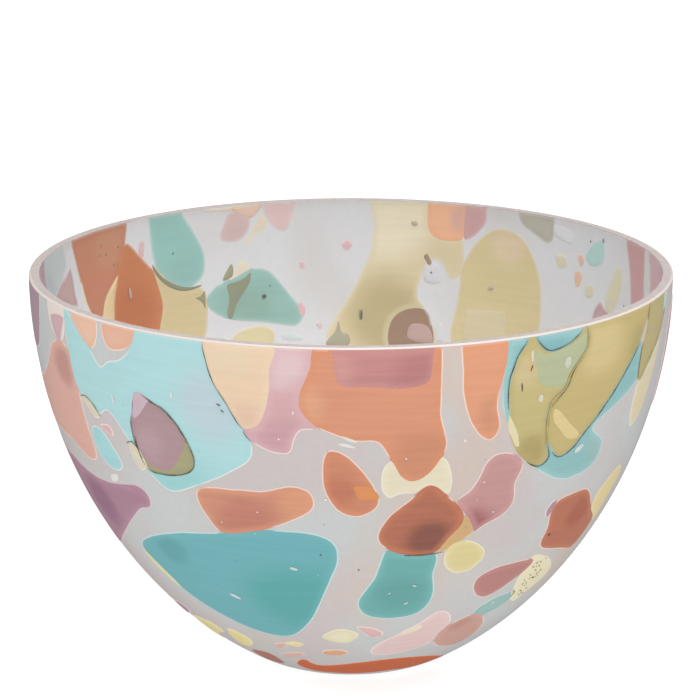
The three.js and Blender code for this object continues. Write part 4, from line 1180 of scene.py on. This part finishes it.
# Painted highlights among real bubbles: several of these pale lenses stand for glints of light on the face.
LARGE_BUBBLES_AND_GLINTS = [
    (-45.2, 29.6, 0.9, 4.6, 0), (-31.5, 22.6, 1.1, 2.6, 0), (-9.6, 24.6, 1.0, 1.3, 0),
    (-12.2, 35.3, 0.8, 0.9, 0), (-4.5, 59.8, 1.1, 1.2, 0), (39, 12.7, 3.4, 4.4, -10), (31.3, 7.6, 1.4, 4.6, 0),
    (33.6, 24.6, 2.2, 3.2, 0), (44.9, 49.4, 2.6, 5.4, -62), (19.6, 37.2, 0.9, 1.6, 30),
    (9.4, 42.8, 0.9, 0.9, 0), (24.3, 55.7, 0.9, 0.9, 0), (27.4, 69.9, 0.9, 0.9, 0),
    (-11.8, 93.9, 1.6, 3.4, 70), (-28.1, 114.4, 1.9, 5.2, 58), (13.9, 103.7, 0.9, 1.9, 70),
    (12.8, 114, 1.0, 2.0, -60), (8.5, 107.3, 0.8, 0.8, 0), (38.4, 123.4, 1.0, 1.6, 0),
    (-17.4, 67.2, 0.7, 0.7, 0), (-25.1, 73.9, 0.7, 0.7, 0)]
LARGE_FLECKS = [
    (-22.5, 23.8, 0.5, 2.0, 70), (-21.9, 26.1, 0.4, 1.8, 55), (29.6, 19, 0.6, 3.6, 8),
    (31.3, 12.2, 0.5, 2.6, -18), (-6, 86, 0.7, 0.7, 0), (1.6, 93.6, 0.6, 0.8, 0), (45, 88.8, 1.2, 1.2, 0)]
CREAM_SPECKLES = [(43.7 + 2.8 * down + 5.4 * across, 102 + 23 * down, 0.25 + 0.35 * size, 0.4, 0)
                  for down, across, size in np.random.default_rng(4).random((40, 3))]
INNER_BUBBLES = [
    (-130.1, 31.1, 1.8, 5.6, 0), (150.3, 35.2, 3.0, 1.8, 0), (167.2, 10, 3.0, 2.2, 0)]
INNER_FLECKS = [
    (-142, 17.9, 0.8, 0.8, 0), (-161.7, 41, 1.9, 2.0, 20), (-163.1, 36.6, 0.7, 0.7, 0),
    (177.8, 50.7, 0.9, 4.2, 0), (163.4, 31, 0.8, 0.8, 0), (126.1, 7.1, 0.7, 1.0, 0), (122.3, 5.2, 0.6, 2.2, 0),
    (112.9, 28.4, 0.7, 0.7, 0), (-123, 7.7, 0.6, 0.6, 0), (-127.9, 10.1, 0.7, 0.7, 0),
    (-124.2, 12, 0.6, 0.8, 0), (-122.5, 11.7, 0.5, 0.5, 0), (-126.3, 17.1, 0.8, 0.6, 0)]
for name, tree, base, values in (
    ("large_bubbles_and_glints", placed, point_mesh("large", LARGE_BUBBLES_AND_GLINTS, -0.3 * MM),
     {"Glass": PALE_BUBBLE_AND_GLINT}),
    ("large_flecks", placed, point_mesh("flecks", LARGE_FLECKS, -0.3 * MM),
     {"Glass": DARK_FLECK}),
    ("cream_speckles", placed, point_mesh("speckles", CREAM_SPECKLES, -0.35 * MM),
     {"Glass": DARK_FLECK}),
    ("inner_bubbles", placed, point_mesh("inner", INNER_BUBBLES, CASING_DEPTH + 0.5 * MM),
     {"Glass": INNER_BUBBLE}),
    ("inner_flecks", placed, point_mesh("inner flecks", INNER_FLECKS, CASING_DEPTH + 0.5 * MM),
     {"Glass": DARK_FLECK}),
    ("fine_bubbles", scattered, skin("outer skin", -0.2 * MM),
     {"Glass": PALE_BUBBLE_AND_GLINT, "Density": 1300.0, "Smallest": 0.0002, "Largest": 0.00045, "Seed": 11}),
    ("fine_flecks", scattered, skin("outer skin dark", -0.2 * MM),
     {"Glass": DARK_FLECK, "Density": 300.0, "Smallest": 0.00016, "Largest": 0.00032, "Seed": 5}),
    ("inner_fine_flecks", scattered, skin("inner skin", CASING_DEPTH + 0.3 * MM),
     {"Glass": DARK_FLECK, "Density": 500.0, "Smallest": 0.0002, "Largest": 0.00045, "Seed": 8}),
):
    piece = made_by_nodes(name, base, tree, values)
    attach(piece, "root")
    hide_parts("outer_casing")

# ---------------------------------------------------------------------------------------------
# Floor, light and camera: a white sweep in soft, even daylight, and a long lens set a little
# above the rim.
# ---------------------------------------------------------------------------------------------
FLOOR_REACH = 6.0
floor_mesh = bpy.data.meshes.new("floor")
floor_corners = [(x * FLOOR_REACH, y * FLOOR_REACH, 0) for x, y in ((-1, -1), (1, -1), (1, 1), (-1, 1))]
floor_mesh.from_pydata(floor_corners, [], [(0, 1, 2, 3)])
floor = set_out("floor", floor_mesh)
floor_finish, _, floor_shader = new_glass("white sweep", 0.9)
floor_shader.inputs["Base Color"].default_value = (0.3, 0.3, 0.3, 1)
floor_shader.inputs["Emission Color"].default_value = (1, 1, 1, 1)
floor_shader.inputs["Emission Strength"].default_value = 0.86
floor.visible_glossy = False
floor_shader.inputs["Specular IOR Level"].default_value = 0.0
floor_mesh.materials.append(floor_finish)

world = bpy.data.worlds.new("daylight")
world.use_nodes = True
world_tree = world.node_tree
background = world_tree.nodes["Background"]
background.inputs["Color"].default_value = (1, 1, 1, 1)
seen_by = world_tree.nodes.new("ShaderNodeLightPath")
lit_or_seen = blend(world_tree, (-200, 0), seen_by.outputs["Is Camera Ray"], 0.8, 1.02, "FLOAT")
strength = blend(world_tree, (0, -100), seen_by.outputs["Is Glossy Ray"], lit_or_seen, 0.22, "FLOAT")
join(world_tree, [(strength, background.inputs["Strength"])])
bpy.context.scene.world = world


def soft_light(name, place, aim, size, power):
    lamp = bpy.data.lights.new(name, "AREA")
    lamp.shape, lamp.size, lamp.energy = "DISK", size, power
    lamp_object = bpy.data.objects.new(name, lamp)
    lamp_object.location = place
    lamp_object.rotation_euler = (Vector(aim) - Vector(place)).to_track_quat("-Z", "Y").to_euler()
    bpy.context.collection.objects.link(lamp_object)


soft_light("overhead", place=(0.2, -0.3, 1.5), aim=(0, 0, 0.08), size=1.2, power=16.5)
soft_light("key", place=(-0.25, -1.1, 0.9), aim=(0, 0, 0.08), size=0.9, power=1.5)

CAMERA_DISTANCE = 1.25
CAMERA_TILT = math.radians(14.955)
AIM = Vector((0, 0, 0.12098))
camera_data = bpy.data.cameras.new("camera")
camera_data.lens = 163.76
camera_data.sensor_width = 36
camera_data.shift_x = -0.00143
camera = bpy.data.objects.new("camera", camera_data)
camera.location = AIM + CAMERA_DISTANCE * Vector((0, -math.cos(CAMERA_TILT), math.sin(CAMERA_TILT)))
camera.rotation_euler = (AIM - camera.location).to_track_quat("-Z", "Y").to_euler()
bpy.context.collection.objects.link(camera)
bpy.context.scene.camera = camera
bpy.context.scene.view_settings.view_transform = "Standard"
bpy.context.scene.view_settings.look = "None"
